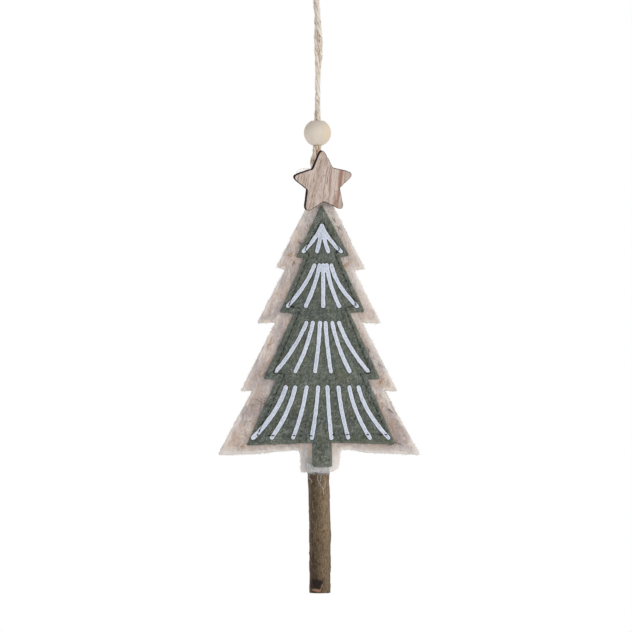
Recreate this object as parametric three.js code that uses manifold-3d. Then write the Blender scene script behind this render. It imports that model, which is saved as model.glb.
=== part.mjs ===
// Felt Christmas tree ornament on a twine loop, in millimetres, +Z up.
// The front faces -Y and +X is to the right. The origin is the inner top of the twine's loop,
// where it bears on its hook or twig, so everything else hangs below it.

import * as THREE from 'three';
import { mergeVertices } from 'three/addons/utils/BufferGeometryUtils.js';
import Module from 'manifold-3d';

const wasm = await Module();
wasm.setup();

// Fits: the air left between faceted neighbours that touch on the real object.
const seatGap = 0.3;
const feltSeat = 0.3; // between the two pressed felt layers
const printSeat = 0.12; // between the ink and the felt it dried on
const overrun = 3; // how far a cutting solid runs past what it cuts

// Twine loop, doubled from the bead up.
const twineDiameter = 1.8;
const twineSides = 8;
const twineStep = 3.2;
const hangLength = 89.4; // from the hook down to the tree's apex
const cordEndDepth = 11.2; // how far the twine's ends run in between the felts
const cordSpacing = twineDiameter + seatGap;
const splitSearchSteps = 40;

// Wooden bead.
const beadDiameter = 11.74;
const beadRise = 16.9; // from the tree's apex up to the bead's centre
const splitBelowCentre = 1.5; // where, inside the bead, the loop hands over to the two legs
const boreClearance = 0.45;
const boreMouth = 0.35; // chamfer round both ends of the bore
const beadSides = 32;
const beadArcSteps = 11;

// Natural felt body, cut twice: a front and a back layer.
const treeWidth = 85.8;
const treeHeight = 121.3; // apex to the lowest tips
const treeShift = 0.55; // the tree's own axis, right of the cord
const feltThickness = 2;
const tabWidth = 16;
const tabLength = 7.6; // below the lowest tips
const tipRound = 0.9; // radius that the cutting die leaves at each corner
const filletRound = 2.4; // radius between the lowest tier and its tab
const tabRounds = [0.9, 2]; // its lower corners, left and right, where the wool has worn

// Green felt appliqué sewn on the front.
const greenSideMargin = 11.2; // natural felt left showing beside the lowest tier
const greenFootMargin = 4.1; // and below it
const greenApexDrop = 14.6; // below the natural felt's apex
const greenShift = 1.3; // right of the tree's axis
const greenThickness = 1.3;
const trunkWidth = 8.2;
const trunkLength = 9.5;

// Padding and the shape it gives the felt.
const seamInset = 2.5; // from the green edge in to the stitching
const crownHeight = 2.4; // rise of each face over the padding
const crownRoll = 8; // width over which a face rises from the seam
const paddingSideMargin = 8.7; // a plain wedge of wadding that stays inside every notch
const paddingApexDrop = 14;
const paddingFootRise = 5.5;
const paddingRound = 3;
const paddingEdge = 0.1; // half its thickness where the felts meet
const blendPower = 4; // how sharply crown, sleeve and pocket run into each other
const gridStep = 5; // spacing of the felt's facets
const gridColumnsShares = [0.25, 0.5, 0.75, 1]; // of half the tab's width
const sideColumns = 6;

// Twig trunk.
const twigDiameter = 9;
const twigLength = 72;
const twigShown = 52.2; // below the tab
const twigShift = 0.15; // its top, right of the cord
const twigBow = 0.75; // how far the shown end bends to the right
const twigTaperShare = 0.03;
const twigClearance = 0.4;
const twigSides = 16;
const twigRings = 20;
const barkRelief = 0.12;
const furrowCount = 5; // round the twig
const furrowLean = 4; // how far they turn over its length, in radians
const furrowWaves = 3.5; // swellings along it
const sleeveFade = 13; // the felt closes again over this height above the twig
// Scars of side shoots: height above the sawn foot and size, then the side they are on in turns.
const knots = [
  { height: 34, length: 2.6, rise: 0.5, turnShare: 0.8, spreadShare: 0.09 },
  { height: 17.5, length: 3.2, rise: 0.4, turnShare: 0.6, spreadShare: 0.08 },
  { height: 43.5, length: 2.2, rise: 0.35, turnShare: 0.22, spreadShare: 0.09 },
];

// Pocket that the twine's ends lie in, at the apex between the felts.
const pocketWidth = 11;
const pocketFade = 8;
const pocketRise = twineDiameter / 2 + seatGap + twineDiameter / 4;

// Laser-cut wooden star.
const starWidth = 25.1;
const starHeight = 25.2;
const starThickness = 3.6;
const starBelowApex = 4.67; // from the tree's apex down to the star's centre
const starShift = 1.84; // right of the cord
const starStandOff = 5.15; // from the cord's plane forward to the star's back
const starTipTurn = THREE.MathUtils.degToRad(26); // half the angle of a point
const starTipRound = 4.2; // how much of a point's sides its worn tip takes
const starArmDroop = 1.2; // how far the two side points lie below a regular star's
const starNotchRound = 0.6;
const starSpin = THREE.MathUtils.degToRad(3.5); // anticlockwise
const starYaw = THREE.MathUtils.degToRad(12); // turned to face a little right
const starPitch = THREE.MathUtils.degToRad(7); // and a little down

// Glue dabs.
const starGlueWidth = 6.6;
const starGlueHeight = 9;
const starGlueDrop = 3.5; // below the star's centre
const starGlueShift = 1; // left of it
const cordGlueWidth = 6;
const cordGlueHeight = 4.2;
const twigGlueWidth = 6.4;
const twigGlueHeight = 1.6;

// White raised print.
const printHeight = 0.35;
const fanWidthShare = 0.0256; // of the green width
const rayWidthShare = 0.0262;
const joinedPitchShare = 0.92; // spacing of rays that run together, in ray widths
const raySegments = 5;
const roundSegments = 3;
const cornerSegments = 2;
const dabSegments = 5;
const starCornerSegments = 3;
const glueSteps = 4;

const twigRadius = twigDiameter / 2;
const greenWidth = treeWidth - 2 * greenSideMargin;
const greenHeight = treeHeight - greenApexDrop - greenFootMargin;
const fanWidth = greenWidth * fanWidthShare;
const rayWidth = greenWidth * rayWidthShare;
const beadDrop = hangLength - beadRise; // from the hook down to the bead's centre
const cordSplitDrop = beadDrop + splitBelowCentre;
const starDrop = hangLength + starBelowApex;
const treeApex = -hangLength;
const treeFoot = treeApex - treeHeight;
const tabFoot = treeFoot - tabLength;
const twigFoot = tabFoot - twigShown;
const twigTop = twigFoot + twigLength;
const greenApex = treeApex - greenApexDrop;
const greenAxis = treeShift + greenShift;
const frontFeltFace = feltSeat / 2 + feltThickness;
const greenBack = frontFeltFace + seatGap;
const greenFace = greenBack + greenThickness;
const tiersLeftToRight = [-1, 1];

// Each tier's tip and the notch above the next tier, left and right, as shares of half the
// width, with their drops below the apex as shares of the height. The natural felt's sides are
// steeper up to a first point without a notch, behind the star.
const naturalTierShares = [
  { tip: [0.124, 0.149], tipDrop: [0.128, 0.128], notch: null, notchDrop: 0 },
  { tip: [0.419, 0.454], tipDrop: [0.337, 0.342], notch: [0.332, 0.344], notchDrop: 0.346 },
  { tip: [0.614, 0.614], tipDrop: [0.535, 0.535], notch: [0.426, 0.426], notchDrop: 0.532 },
  { tip: [0.779, 0.784], tipDrop: [0.777, 0.777], notch: [0.659, 0.65], notchDrop: 0.773 },
  { tip: [1, 1], tipDrop: [1, 0.998], notch: null, notchDrop: 0.984 },
];
const greenTierShares = [
  { tip: [0.344, 0.363], tipDrop: [0.215, 0.208], notch: [0.228, 0.229], notchDrop: 0.214 },
  { tip: [0.567, 0.572], tipDrop: [0.446, 0.443], notch: [0.369, 0.373], notchDrop: 0.448 },
  { tip: [0.782, 0.78], tipDrop: [0.724, 0.724], notch: [0.607, 0.613], notchDrop: 0.727 },
  { tip: [1.014, 0.986], tipDrop: [1.002, 0.997], notch: null, notchDrop: 0.992 },
];

// Printed rays of each tier: where they start and end across half the green width, and down it,
// and how much of each one's way across is bent.
const rayTierShares = [
  { name: 'mid', top: [-0.103, -0.03, 0.018, 0.066, 0.13], topDrop: 0.249,
    foot: [-0.46, -0.218, 0.018, 0.236, 0.476], footDrop: 0.42, joined: [1, 2, 3],
    bend: [0.43, 0.43, 0.43, 0.56, 0.66] },
  { name: 'lower', top: [-0.209, -0.121, -0.024, 0.05, 0.14, 0.233], topDrop: 0.49,
    foot: [-0.62, -0.359, -0.091, 0.122, 0.376, 0.626], footDrop: 0.693, joined: [],
    bend: [0.36, 0.43, 0.43, 0.43, 0.43, 0.43] },
  { name: 'base', top: [-0.489, -0.362, -0.207, -0.051, 0.075, 0.224, 0.371, 0.496],
    topDrop: 0.76, foot: [-0.93, -0.678, -0.389, -0.136, 0.13, 0.357, 0.65, 0.902],
    footDrop: 0.971, joined: [],
    bend: [0.55, 0.53, 0.46, 0.43, 0.43, 0.46, 0.53, 0.56] },
];
const fanShares = { apexDrop: 0.083, foot: [-0.252, -0.065, 0.087, 0.258], footDrop: 0.191,
  bend: 0.43 };

// The twine's whole route: up from the left end, round the hook, down to the right end.
const routeBeadDrop = 72.5; // where the bead's centre is in the table
const twineRoute = [
  [-0.3, 0, -100.6], [-0.45, 0, -94], [-1.75, 0, -88.9], [-2.4, 0, -85.2], [-1.6, 0, -80.6],
  [-1.05, 0, -76.6], [-1.05, 0, -72.6], [-0.9, 0.54, -67.4], [-0.44, 0.95, -62],
  [-0.1, 1.05, -55.6], [0.22, 1.05, -49.6], [0.67, 1, -44.2], [1.14, 0.8, -39],
  [1.34, 0.44, -36.3], [1.4, 0, -33.6], [1.2, -0.5, -30.8], [0.71, -0.88, -28],
  [0.3, -1, -22], [-0.2, -1.32, -15.4], [-0.25, -2.9, -9.4], [-0.05, -4.3, -5.2],
  [0, -3.9, -1.4], [0, 0, 0.9], [0, 3.9, -1.4],
  [-0.1, 4.3, -5.2], [-0.65, 2.9, -9.4], [-0.95, 1.32, -15.4], [-0.4, 1, -22],
  [-0.47, 0.88, -28], [-0.66, 0.5, -30.8], [-0.7, 0, -33.6], [-0.56, -0.44, -36.3],
  [-0.3, -0.8, -39], [-0.07, -1, -44.2], [-0.02, -1.05, -49.6], [0.15, -1.05, -55.6],
  [0.44, -0.95, -62], [0.9, -0.54, -67.4], [1.05, 0, -72.6], [1.05, 0, -76.6], [1.1, 0, -82],
  [1.35, 0, -88.9], [1.8, 0, -94],
  [1.8, 0, -100.6],
];

const naturalFelt = new THREE.MeshStandardMaterial({ color: 0xcdbeb2, roughness: 0.95 });
const greenFelt = new THREE.MeshStandardMaterial({ color: 0x5c665a, roughness: 0.95 });
const fibre = new THREE.MeshStandardMaterial({ color: 0xe8e8e6, roughness: 1 });
const whiteInk = new THREE.MeshStandardMaterial({ color: 0xdee3ec, roughness: 0.6 });
const palePly = new THREE.MeshStandardMaterial({ color: 0xc0aa99, roughness: 0.75 });
const beadWood = new THREE.MeshStandardMaterial({ color: 0xd6ccbe, roughness: 0.7 });
const bark = new THREE.MeshStandardMaterial({ color: 0x6e5c46, roughness: 0.9 });
const jute = new THREE.MeshStandardMaterial({ color: 0xc6b59a, roughness: 0.9 });
const glue = new THREE.MeshStandardMaterial({ color: 0xe4e0d4, roughness: 0.35 });

/** Joins a geometry's shared corners and turns its faces outward. */
function closed(geometry) {
  const bare = geometry.index ? geometry.toNonIndexed() : geometry.clone();
  bare.deleteAttribute('normal');
  bare.deleteAttribute('uv');
  const merged = mergeVertices(bare);
  const at = merged.attributes.position;
  const index = merged.index.array;
  let volume = 0;
  const [a, b, c] = [new THREE.Vector3(), new THREE.Vector3(), new THREE.Vector3()];
  for (let i = 0; i < index.length; i += 3) {
    a.fromBufferAttribute(at, index[i]);
    b.fromBufferAttribute(at, index[i + 1]);
    c.fromBufferAttribute(at, index[i + 2]);
    volume += a.dot(b.cross(c));
  }
  if (volume < 0) {
    for (let i = 0; i < index.length; i += 3) {
      [index[i], index[i + 1]] = [index[i + 1], index[i]];
    }
  }
  return merged;
}

function toManifold(geometry) {
  const merged = closed(geometry);
  return new wasm.Manifold(new wasm.Mesh({
    numProp: 3,
    vertProperties: Float32Array.from(merged.attributes.position.array),
    triVerts: Uint32Array.from(merged.index.array),
  }));
}

function toGeometry(manifold) {
  const { vertProperties, triVerts } = manifold.getMesh();
  const geometry = new THREE.BufferGeometry();
  geometry.setAttribute('position', new THREE.BufferAttribute(vertProperties, 3));
  geometry.setIndex(new THREE.BufferAttribute(triVerts, 1));
  return geometry;
}

function piece(name, geometry, material) {
  const drawn = geometry.index ? geometry.toNonIndexed() : geometry;
  drawn.computeVertexNormals();
  const mesh = new THREE.Mesh(drawn, material);
  mesh.name = name;
  return mesh;
}

/** A closed outline through the corners, each rounded by its own radius where its sides allow. */
function roundedShape(corners) {
  const shape = new THREE.Shape();
  corners.forEach(([x, z, radius], i) => {
    const here = new THREE.Vector2(x, z);
    const before = new THREE.Vector2(...corners.at(i - 1));
    const after = new THREE.Vector2(...corners[(i + 1) % corners.length]);
    const start = here.clone().lerp(before, Math.min(0.5, radius / here.distanceTo(before)));
    const end = here.clone().lerp(after, Math.min(0.5, radius / here.distanceTo(after)));
    if (i === 0) shape.moveTo(start.x, start.y);
    else shape.lineTo(start.x, start.y);
    shape.quadraticCurveTo(x, z, end.x, end.y);
  });
  shape.closePath();
  return shape;
}

/** Stands a shape up in the XZ plane and carries it from one Y forward to another. */
function standing(shape, backY, frontY, curveSegments) {
  const geometry = new THREE.ExtrudeGeometry(shape, {
    depth: backY - frontY, bevelEnabled: false, curveSegments,
  });
  geometry.rotateX(Math.PI / 2);
  geometry.translate(0, backY, 0);
  return geometry;
}

/** Corners of a tiered tree, anticlockwise from the apex, with a trunk if it has a length. */
function treeCorners({
  axis, apex, width, height, tiers, footWidth, footLength, fillet, footRounds,
}) {
  const side = (k) => {
    const across = (share) => axis + tiersLeftToRight[k] * share * width / 2;
    const points = [];
    for (const tier of tiers) {
      points.push([across(tier.tip[k]), apex - tier.tipDrop[k] * height, tipRound]);
      if (tier.notch) points.push([across(tier.notch[k]), apex - tier.notchDrop * height, 0]);
    }
    if (footLength > 0) {
      const footX = axis + tiersLeftToRight[k] * footWidth / 2;
      points.push([footX, apex - tiers.at(-1).notchDrop * height, fillet]);
      points.push([footX, apex - height - footLength, footRounds[k]]);
    }
    return points;
  };
  return [[axis, apex, tipRound], ...side(0), ...side(1).reverse()];
}

const natural = {
  axis: treeShift, apex: treeApex, width: treeWidth, height: treeHeight,
  tiers: naturalTierShares, footWidth: tabWidth, footLength: tabLength, fillet: filletRound,
  footRounds: tabRounds,
};
const green = {
  axis: greenAxis, apex: greenApex, width: greenWidth, height: greenHeight,
  tiers: greenTierShares, footWidth: trunkWidth, footLength: trunkLength, fillet: tipRound,
  footRounds: [tipRound, tipRound],
};
// The stitching leaves the trunk out, so the padded panel ends in a plain base.
const panelCorners = treeCorners({ ...green, footLength: 0 });

/** How far a point lies inside a closed run of corners, negative outside. */
function depthInside(corners, x, z) {
  let nearest = Infinity;
  let inside = false;
  corners.forEach(([x1, z1], i) => {
    const [x2, z2] = corners[(i + 1) % corners.length];
    const along = THREE.MathUtils.clamp(
      ((x - x1) * (x2 - x1) + (z - z1) * (z2 - z1)) / ((x2 - x1) ** 2 + (z2 - z1) ** 2), 0, 1);
    nearest = Math.min(nearest, Math.hypot(x - x1 - along * (x2 - x1), z - z1 - along * (z2 - z1)));
    if ((z1 > z) !== (z2 > z) && x < x1 + (z - z1) * (x2 - x1) / (z2 - z1)) inside = !inside;
  });
  return inside ? nearest : -nearest;
}

const arch = (offset, halfWidth) => Math.max(0, 1 - (offset / halfWidth) ** 2);

/** Rise of a felt face from flat: the padding's crown, the twig's sleeve and the cord's pocket. */
function rise(x, z) {
  const crown = crownHeight * THREE.MathUtils.smoothstep(
    depthInside(panelCorners, x, z) - seamInset, 0, crownRoll);
  const sleeve = (twigRadius + twigClearance) * arch(x - treeShift, tabWidth / 2)
    * (1 - THREE.MathUtils.smoothstep(z, twigTop + twigGlueHeight, twigTop + sleeveFade));
  const pocketFloor = treeApex - cordEndDepth - cordGlueHeight;
  const pocket = pocketRise * arch(x - treeShift, pocketWidth / 2)
    * THREE.MathUtils.smoothstep(z, pocketFloor - pocketFade, pocketFloor);
  return (crown ** blendPower + sleeve ** blendPower + pocket ** blendPower) ** (1 / blendPower);
}

// The felt's facets: close columns over the tab, wider ones out to the tips, and even rows.
const tabColumns = gridColumnsShares.map((share) => share * tabWidth / 2);
const outerColumns = Array.from({ length: sideColumns }, (_, i) =>
  THREE.MathUtils.lerp(tabWidth / 2, treeWidth / 2 + overrun, (i + 1) / sideColumns));
const halfColumns = [...tabColumns, ...outerColumns];
const gridX = [...halfColumns.map((x) => -x).reverse(), 0, ...halfColumns]
  .map((x) => x + treeShift);
const gridTop = treeApex + overrun;
const gridFoot = tabFoot - overrun;
const gridRows = Math.ceil((gridTop - gridFoot) / gridStep);
const gridZ = Array.from({ length: gridRows + 1 }, (_, i) =>
  THREE.MathUtils.lerp(gridFoot, gridTop, i / gridRows));
const riseAt = gridZ.map((z) => gridX.map((x) => rise(x, z)));

/** A solid between two crumpled sheets, given by each grid point's near and far Y. */
function sheetSolid(nearY, farY) {
  const columns = gridX.length;
  const count = columns * gridZ.length;
  const positions = [];
  for (const level of [nearY, farY]) {
    gridZ.forEach((z, r) => gridX.forEach((x, c) => positions.push(x, level(riseAt[r][c]), z)));
  }
  const faces = [];
  for (let r = 0; r < gridZ.length - 1; r++) {
    for (let c = 0; c < columns - 1; c++) {
      const [a, b, d, e] = [r * columns + c, r * columns + c + 1,
        (r + 1) * columns + c, (r + 1) * columns + c + 1];
      faces.push(a, b, e, a, e, d);
      faces.push(count + a, count + e, count + b, count + a, count + d, count + e);
    }
  }
  const rim = [];
  for (let c = 0; c < columns - 1; c++) rim.push(c);
  for (let r = 0; r < gridZ.length - 1; r++) rim.push(r * columns + columns - 1);
  for (let c = columns - 1; c > 0; c--) rim.push((gridZ.length - 1) * columns + c);
  for (let r = gridZ.length - 1; r > 0; r--) rim.push(r * columns);
  rim.forEach((from, i) => {
    const to = rim[(i + 1) % rim.length];
    faces.push(from, count + from, count + to, from, count + to, to);
  });
  const geometry = new THREE.BufferGeometry();
  geometry.setAttribute('position', new THREE.Float32BufferAttribute(positions, 3));
  geometry.setIndex(faces);
  return toManifold(geometry);
}

const bodyDepth = twigDiameter + frontFeltFace * 2 + overrun * 2;
const punch = (shape, curveSegments) =>
  toManifold(standing(shape, bodyDepth, -bodyDepth, curveSegments));

/** Cuts one felt layer, print or dab: a shape's prism within two levels on one side. */
function layer(shape, side, near, far, curveSegments) {
  const sheet = sheetSolid((h) => side * (h + near), (h) => side * (h + far));
  return sheet.intersect(punch(shape, curveSegments));
}

const frontSide = -1;
const backSide = 1;
/** Half the room between the felts where they rise by h. */
const room = (h) => Math.max(h - feltSeat / 2, paddingEdge);

function felts() {
  const body = roundedShape(treeCorners(natural));
  const cover = roundedShape(treeCorners(green));
  const felt = (name, shape, side, near, far, material) =>
    piece(name, toGeometry(layer(shape, side, near, far, cornerSegments)), material);
  return [
    felt('back_felt', body, backSide, feltSeat / 2, frontFeltFace, naturalFelt),
    felt('front_felt', body, frontSide, feltSeat / 2, frontFeltFace, naturalFelt),
    felt('green_felt', cover, frontSide, greenBack, greenFace, greenFelt),
  ];
}

function upright(radius, foot, top, x) {
  const geometry = new THREE.CylinderGeometry(radius, radius, top - foot, twigSides);
  geometry.rotateX(Math.PI / 2);
  geometry.translate(x, 0, (top + foot) / 2);
  return geometry;
}

function padding() {
  const top = greenApex - paddingApexDrop;
  const foot = greenApex - greenHeight + paddingFootRise;
  const halfWidth = greenWidth / 2 - paddingSideMargin;
  const outline = roundedShape([[greenAxis, top, paddingRound],
    [greenAxis - halfWidth, foot, paddingRound], [greenAxis + halfWidth, foot, paddingRound]]);
  const channel = upright(twigRadius + twigClearance, tabFoot,
    twigTop + twigGlueHeight + seatGap * 2, twigShift);
  return piece('padding', toGeometry(sheetSolid((h) => -room(h), room)
    .intersect(punch(outline, cornerSegments)).subtract(toManifold(channel))), fibre);
}

/** A sawn twig: rings up a bowed axis, with furrows, a taper and side-shoot scars. */
function twig() {
  const positions = [];
  for (let r = 0; r <= twigRings; r++) {
    const along = r / twigRings;
    const height = along * twigLength;
    const bow = twigBow * (1 - THREE.MathUtils.smoothstep(height, 0, twigShown)) ** 2;
    const shown = 1 - THREE.MathUtils.smoothstep(height, twigShown - tabLength, twigShown);
    for (let s = 0; s < twigSides; s++) {
      const turn = s / twigSides;
      const furrow = barkRelief * Math.sin((turn * furrowCount) * Math.PI * 2 + along * furrowLean)
        + barkRelief * Math.sin((along * furrowWaves + turn * 2) * Math.PI * 2);
      const scars = knots.reduce((sum, knot) => {
        const apart = Math.abs(turn - knot.turnShare);
        const off = Math.min(apart, 1 - apart) / knot.spreadShare;
        return sum + knot.rise * Math.exp(-(((height - knot.height) / knot.length) ** 2) - off ** 2);
      }, 0);
      const radius = twigRadius * (1 - twigTaperShare * (1 - along)) - barkRelief
        + shown * (furrow + scars);
      positions.push(twigShift + bow + radius * Math.cos(turn * Math.PI * 2),
        radius * Math.sin(turn * Math.PI * 2), twigFoot + height);
    }
  }
  const faces = [];
  for (let r = 0; r < twigRings; r++) {
    for (let s = 0; s < twigSides; s++) {
      const [a, b] = [r * twigSides + s, r * twigSides + (s + 1) % twigSides];
      faces.push(a, b, b + twigSides, a, b + twigSides, a + twigSides);
    }
  }
  const last = twigRings * twigSides;
  for (let s = 1; s < twigSides - 1; s++) {
    faces.push(0, s + 1, s);
    faces.push(last, last + s, last + s + 1);
  }
  const geometry = new THREE.BufferGeometry();
  geometry.setAttribute('position', new THREE.Float32BufferAttribute(positions, 3));
  geometry.setIndex(faces);
  return piece('twig', closed(geometry), bark);
}

/** A low round dab of glue on the twig's hidden end. */
function twigGlue() {
  const radius = twigGlueWidth / 2;
  const profile = Array.from({ length: glueSteps + 1 }, (_, i) => {
    const angle = i / glueSteps * Math.PI / 2;
    return new THREE.Vector2(radius * Math.cos(angle), twigGlueHeight * Math.sin(angle));
  });
  profile.at(-1).x = 0;
  const geometry = new THREE.LatheGeometry([new THREE.Vector2(0, 0), ...profile], twigSides);
  geometry.rotateX(Math.PI / 2);
  geometry.translate(twigShift, 0, twigTop + seatGap);
  return piece('twig_glue', closed(geometry), glue);
}

/** A turned ball with a chamfered bore up its middle. */
function bead() {
  const radius = beadDiameter / 2;
  const bore = cordSpacing / 2 + twineDiameter / 2 + boreClearance;
  const mouth = bore + boreMouth;
  const mouthAngle = Math.asin(mouth / radius);
  const mouthHeight = radius * Math.cos(mouthAngle);
  const profile = Array.from({ length: beadArcSteps + 1 }, (_, i) => {
    const angle = THREE.MathUtils.lerp(mouthAngle, Math.PI - mouthAngle, i / beadArcSteps);
    return new THREE.Vector2(radius * Math.sin(angle), radius * Math.cos(angle));
  });
  profile.push(new THREE.Vector2(bore, -mouthHeight + boreMouth));
  profile.push(new THREE.Vector2(bore, mouthHeight - boreMouth));
  profile.push(profile[0].clone());
  const geometry = new THREE.LatheGeometry(profile, beadSides);
  geometry.rotateX(Math.PI / 2);
  geometry.translate(0, 0, -beadDrop);
  return piece('bead', closed(geometry), beadWood);
}

function starShape() {
  const reach = starHeight / (1 + Math.cos(Math.PI / 5));
  const squeeze = starWidth / (2 * Math.sin(Math.PI * 2 / 5)) / reach;
  // The rounding curve stays this far inside a point's sharp corner.
  const tipRadius = reach + starTipRound * Math.cos(starTipTurn) / 2;
  const notchRadius = tipRadius * Math.sin(starTipTurn) / Math.sin(starTipTurn + Math.PI / 5);
  const corners = Array.from({ length: 10 }, (_, i) => {
    const angle = Math.PI / 2 + i * Math.PI / 5;
    const tip = i % 2 === 0;
    const radius = tip ? tipRadius : notchRadius;
    const droop = i === 2 || i === 8 ? starArmDroop : 0;
    return [radius * Math.cos(angle) * squeeze, radius * Math.sin(angle) - droop,
      tip ? starTipRound : starNotchRound];
  });
  return roundedShape(corners);
}

function placeStar(object) {
  object.rotation.set(starPitch, -starSpin, starYaw, 'ZXY');
  object.position.set(starShift, -starStandOff, -starDrop);
  object.updateMatrix();
  return object;
}

function star() {
  const geometry = standing(starShape(), 0, -starThickness, starCornerSegments);
  return placeStar(piece('star', closed(geometry), palePly));
}

/** The dab that fills the wedge between the star's back and the felt behind it. */
function starGlue() {
  const depth = starStandOff + starThickness;
  const dab = new THREE.Shape();
  dab.absellipse(starShift - starGlueShift, -starDrop - starGlueDrop, starGlueWidth / 2,
    starGlueHeight / 2, 0, Math.PI * 2);
  const behind = new THREE.BoxGeometry(starWidth, depth, starHeight);
  behind.translate(0, seatGap + depth / 2, 0);
  behind.applyMatrix4(placeStar(new THREE.Object3D()).matrix);
  const felt = layer(dab, frontSide, frontFeltFace + seatGap, frontFeltFace + depth, dabSegments);
  return piece('star_glue', toGeometry(felt.intersect(toManifold(behind))), glue);
}

/** The dab between the felts that the twine's ends are set in. */
function cordGlue() {
  const dab = new THREE.Shape();
  dab.absellipse(treeShift, treeApex - cordEndDepth - seatGap - cordGlueHeight / 2,
    cordGlueWidth / 2, cordGlueHeight / 2, 0, Math.PI * 2);
  return piece('cord_glue', toGeometry(sheetSolid((h) => -room(h), room)
    .intersect(punch(dab, dabSegments))), glue);
}

/** A stretch of the twine's route between two shares of it. */
class RouteStretch extends THREE.Curve {
  constructor(route, from, to) {
    super();
    Object.assign(this, { route, from, to });
  }

  getPoint(t, target) {
    return this.route.getPoint(THREE.MathUtils.lerp(this.from, this.to, t), target);
  }
}

/** Where the route crosses the level of the split, raised by a gap, between two of its points. */
function crossing(route, gap, between) {
  const level = -cordSplitDrop + gap;
  let [a, b] = between.map((i) => i / (twineRoute.length - 1));
  const above = route.getPoint(a).z > level;
  for (let i = 0; i < splitSearchSteps; i++) {
    const middle = (a + b) / 2;
    if ((route.getPoint(middle).z > level) === above) a = middle;
    else b = middle;
  }
  return a;
}

/** A height of the route's table, moved with the bead: stretched above it, shifted below it. */
function routeHeight(z) {
  if (z < -routeBeadDrop) return z + routeBeadDrop - beadDrop;
  return Math.max(z, 0) + Math.min(z, 0) * beadDrop / routeBeadDrop;
}

function twine() {
  const points = twineRoute.map(([x, y, z]) => new THREE.Vector3(x, y, routeHeight(z)));
  const route = new THREE.CatmullRomCurve3(points);
  // The numbers of the route's points next below and above the split, on the way up and down.
  const [up, down] = [[5, 6], [38, 39]];
  const section = new THREE.Shape(Array.from({ length: twineSides }, (_, i) => {
    const angle = (i + 0.5) / twineSides * Math.PI * 2;
    return new THREE.Vector2(Math.cos(angle), Math.sin(angle)).multiplyScalar(twineDiameter / 2);
  }));
  const tube = (name, from, to) => {
    const extrudePath = new RouteStretch(route, from, to);
    const steps = Math.round(extrudePath.getLength() / twineStep);
    const geometry = new THREE.ExtrudeGeometry(section,
      { steps, extrudePath, bevelEnabled: false });
    return piece(name, closed(geometry), jute);
  };
  const half = seatGap / 2;
  return [
    tube('hanging_loop', crossing(route, half, up), crossing(route, half, down)),
    tube('left_cord_leg', 0, crossing(route, -half, up)),
    tube('right_cord_leg', crossing(route, -half, down), 1),
  ];
}

/** One printed ray: a band of even width along a curved line, round at both ends. */
function rayShape(topX, topZ, footX, footZ, width, bendShare) {
  const line = Array.from({ length: raySegments + 1 }, (_, i) => {
    const t = i / raySegments;
    const across = t * (1 - bendShare) + bendShare * t * t;
    return new THREE.Vector2(THREE.MathUtils.lerp(topX, footX, across),
      THREE.MathUtils.lerp(topZ, footZ, t));
  });
  const side = line.map((point, i) => {
    const before = line[Math.max(i - 1, 0)];
    const after = line[Math.min(i + 1, raySegments)];
    const along = after.clone().sub(before).normalize();
    return new THREE.Vector2(-along.y, along.x).multiplyScalar(width / 2);
  });
  const cap = (centre, arm) => Array.from({ length: roundSegments - 1 }, (_, i) =>
    arm.clone().rotateAround(new THREE.Vector2(), -(i + 1) / roundSegments * Math.PI).add(centre));
  return new THREE.Shape([
    ...line.map((point, i) => point.clone().add(side[i])),
    ...cap(line.at(-1), side.at(-1)),
    ...line.map((point, i) => point.clone().sub(side[i])).reverse(),
    ...cap(line[0], side[0].clone().negate()),
  ]);
}

/** Raised ink over the green felt in the union of the given shapes. */
function print(name, shapes) {
  const ink = sheetSolid((h) => frontSide * (h + greenFace + printSeat),
    (h) => frontSide * (h + greenFace + printSeat + printHeight));
  const punches = shapes.map((shape) => punch(shape, 1)).reduce((all, next) => all.add(next));
  return piece(name, toGeometry(ink.intersect(punches)), whiteInk);
}

function prints() {
  const across = (share) => greenAxis + share * greenWidth / 2;
  const down = (share) => greenApex - share * greenHeight;
  const fan = print('top_fan', fanShares.foot.map((foot) => rayShape(across(0),
    down(fanShares.apexDrop), across(foot), down(fanShares.footDrop), fanWidth,
    fanShares.bend)));
  const rays = rayTierShares.flatMap(({ name, top, topDrop, foot, footDrop, joined, bend }) => {
    const start = (i) => (joined.includes(i)
      ? across(top[joined[1]]) + (i - joined[1]) * joinedPitchShare * rayWidth : across(top[i]));
    const shapes = foot.map((share, i) => rayShape(start(i), down(topDrop), across(share),
      down(footDrop), rayWidth, bend[i]));
    const single = shapes.filter((_, i) => !joined.includes(i))
      .map((shape, i) => print(`${name}_ray_${i + 1}`, [shape]));
    return joined.length
      ? [...single, print(`${name}_ray_trident`, joined.map((i) => shapes[i]))] : single;
  });
  return [fan, ...rays];
}

const group = new THREE.Group();
group.add(...twine(), bead(), star(), starGlue(), cordGlue(), ...felts(), padding(), twig(),
  twigGlue(), ...prints());

export default group;
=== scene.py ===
"""Dresses the felt Christmas tree ornament that hangs on its doubled twine, for Blender 4.5.

Lengths inside the classes are in millimetres in the part's own frame: +Z up, the front towards
-Y, and the origin at the inner top of the twine's loop. Meshes are written in metres.
"""

import itertools
import logging
import math
from dataclasses import dataclass, field
from enum import Enum
from typing import Any, Sequence

import bpy
import numpy as np
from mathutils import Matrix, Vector, geometry


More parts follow.
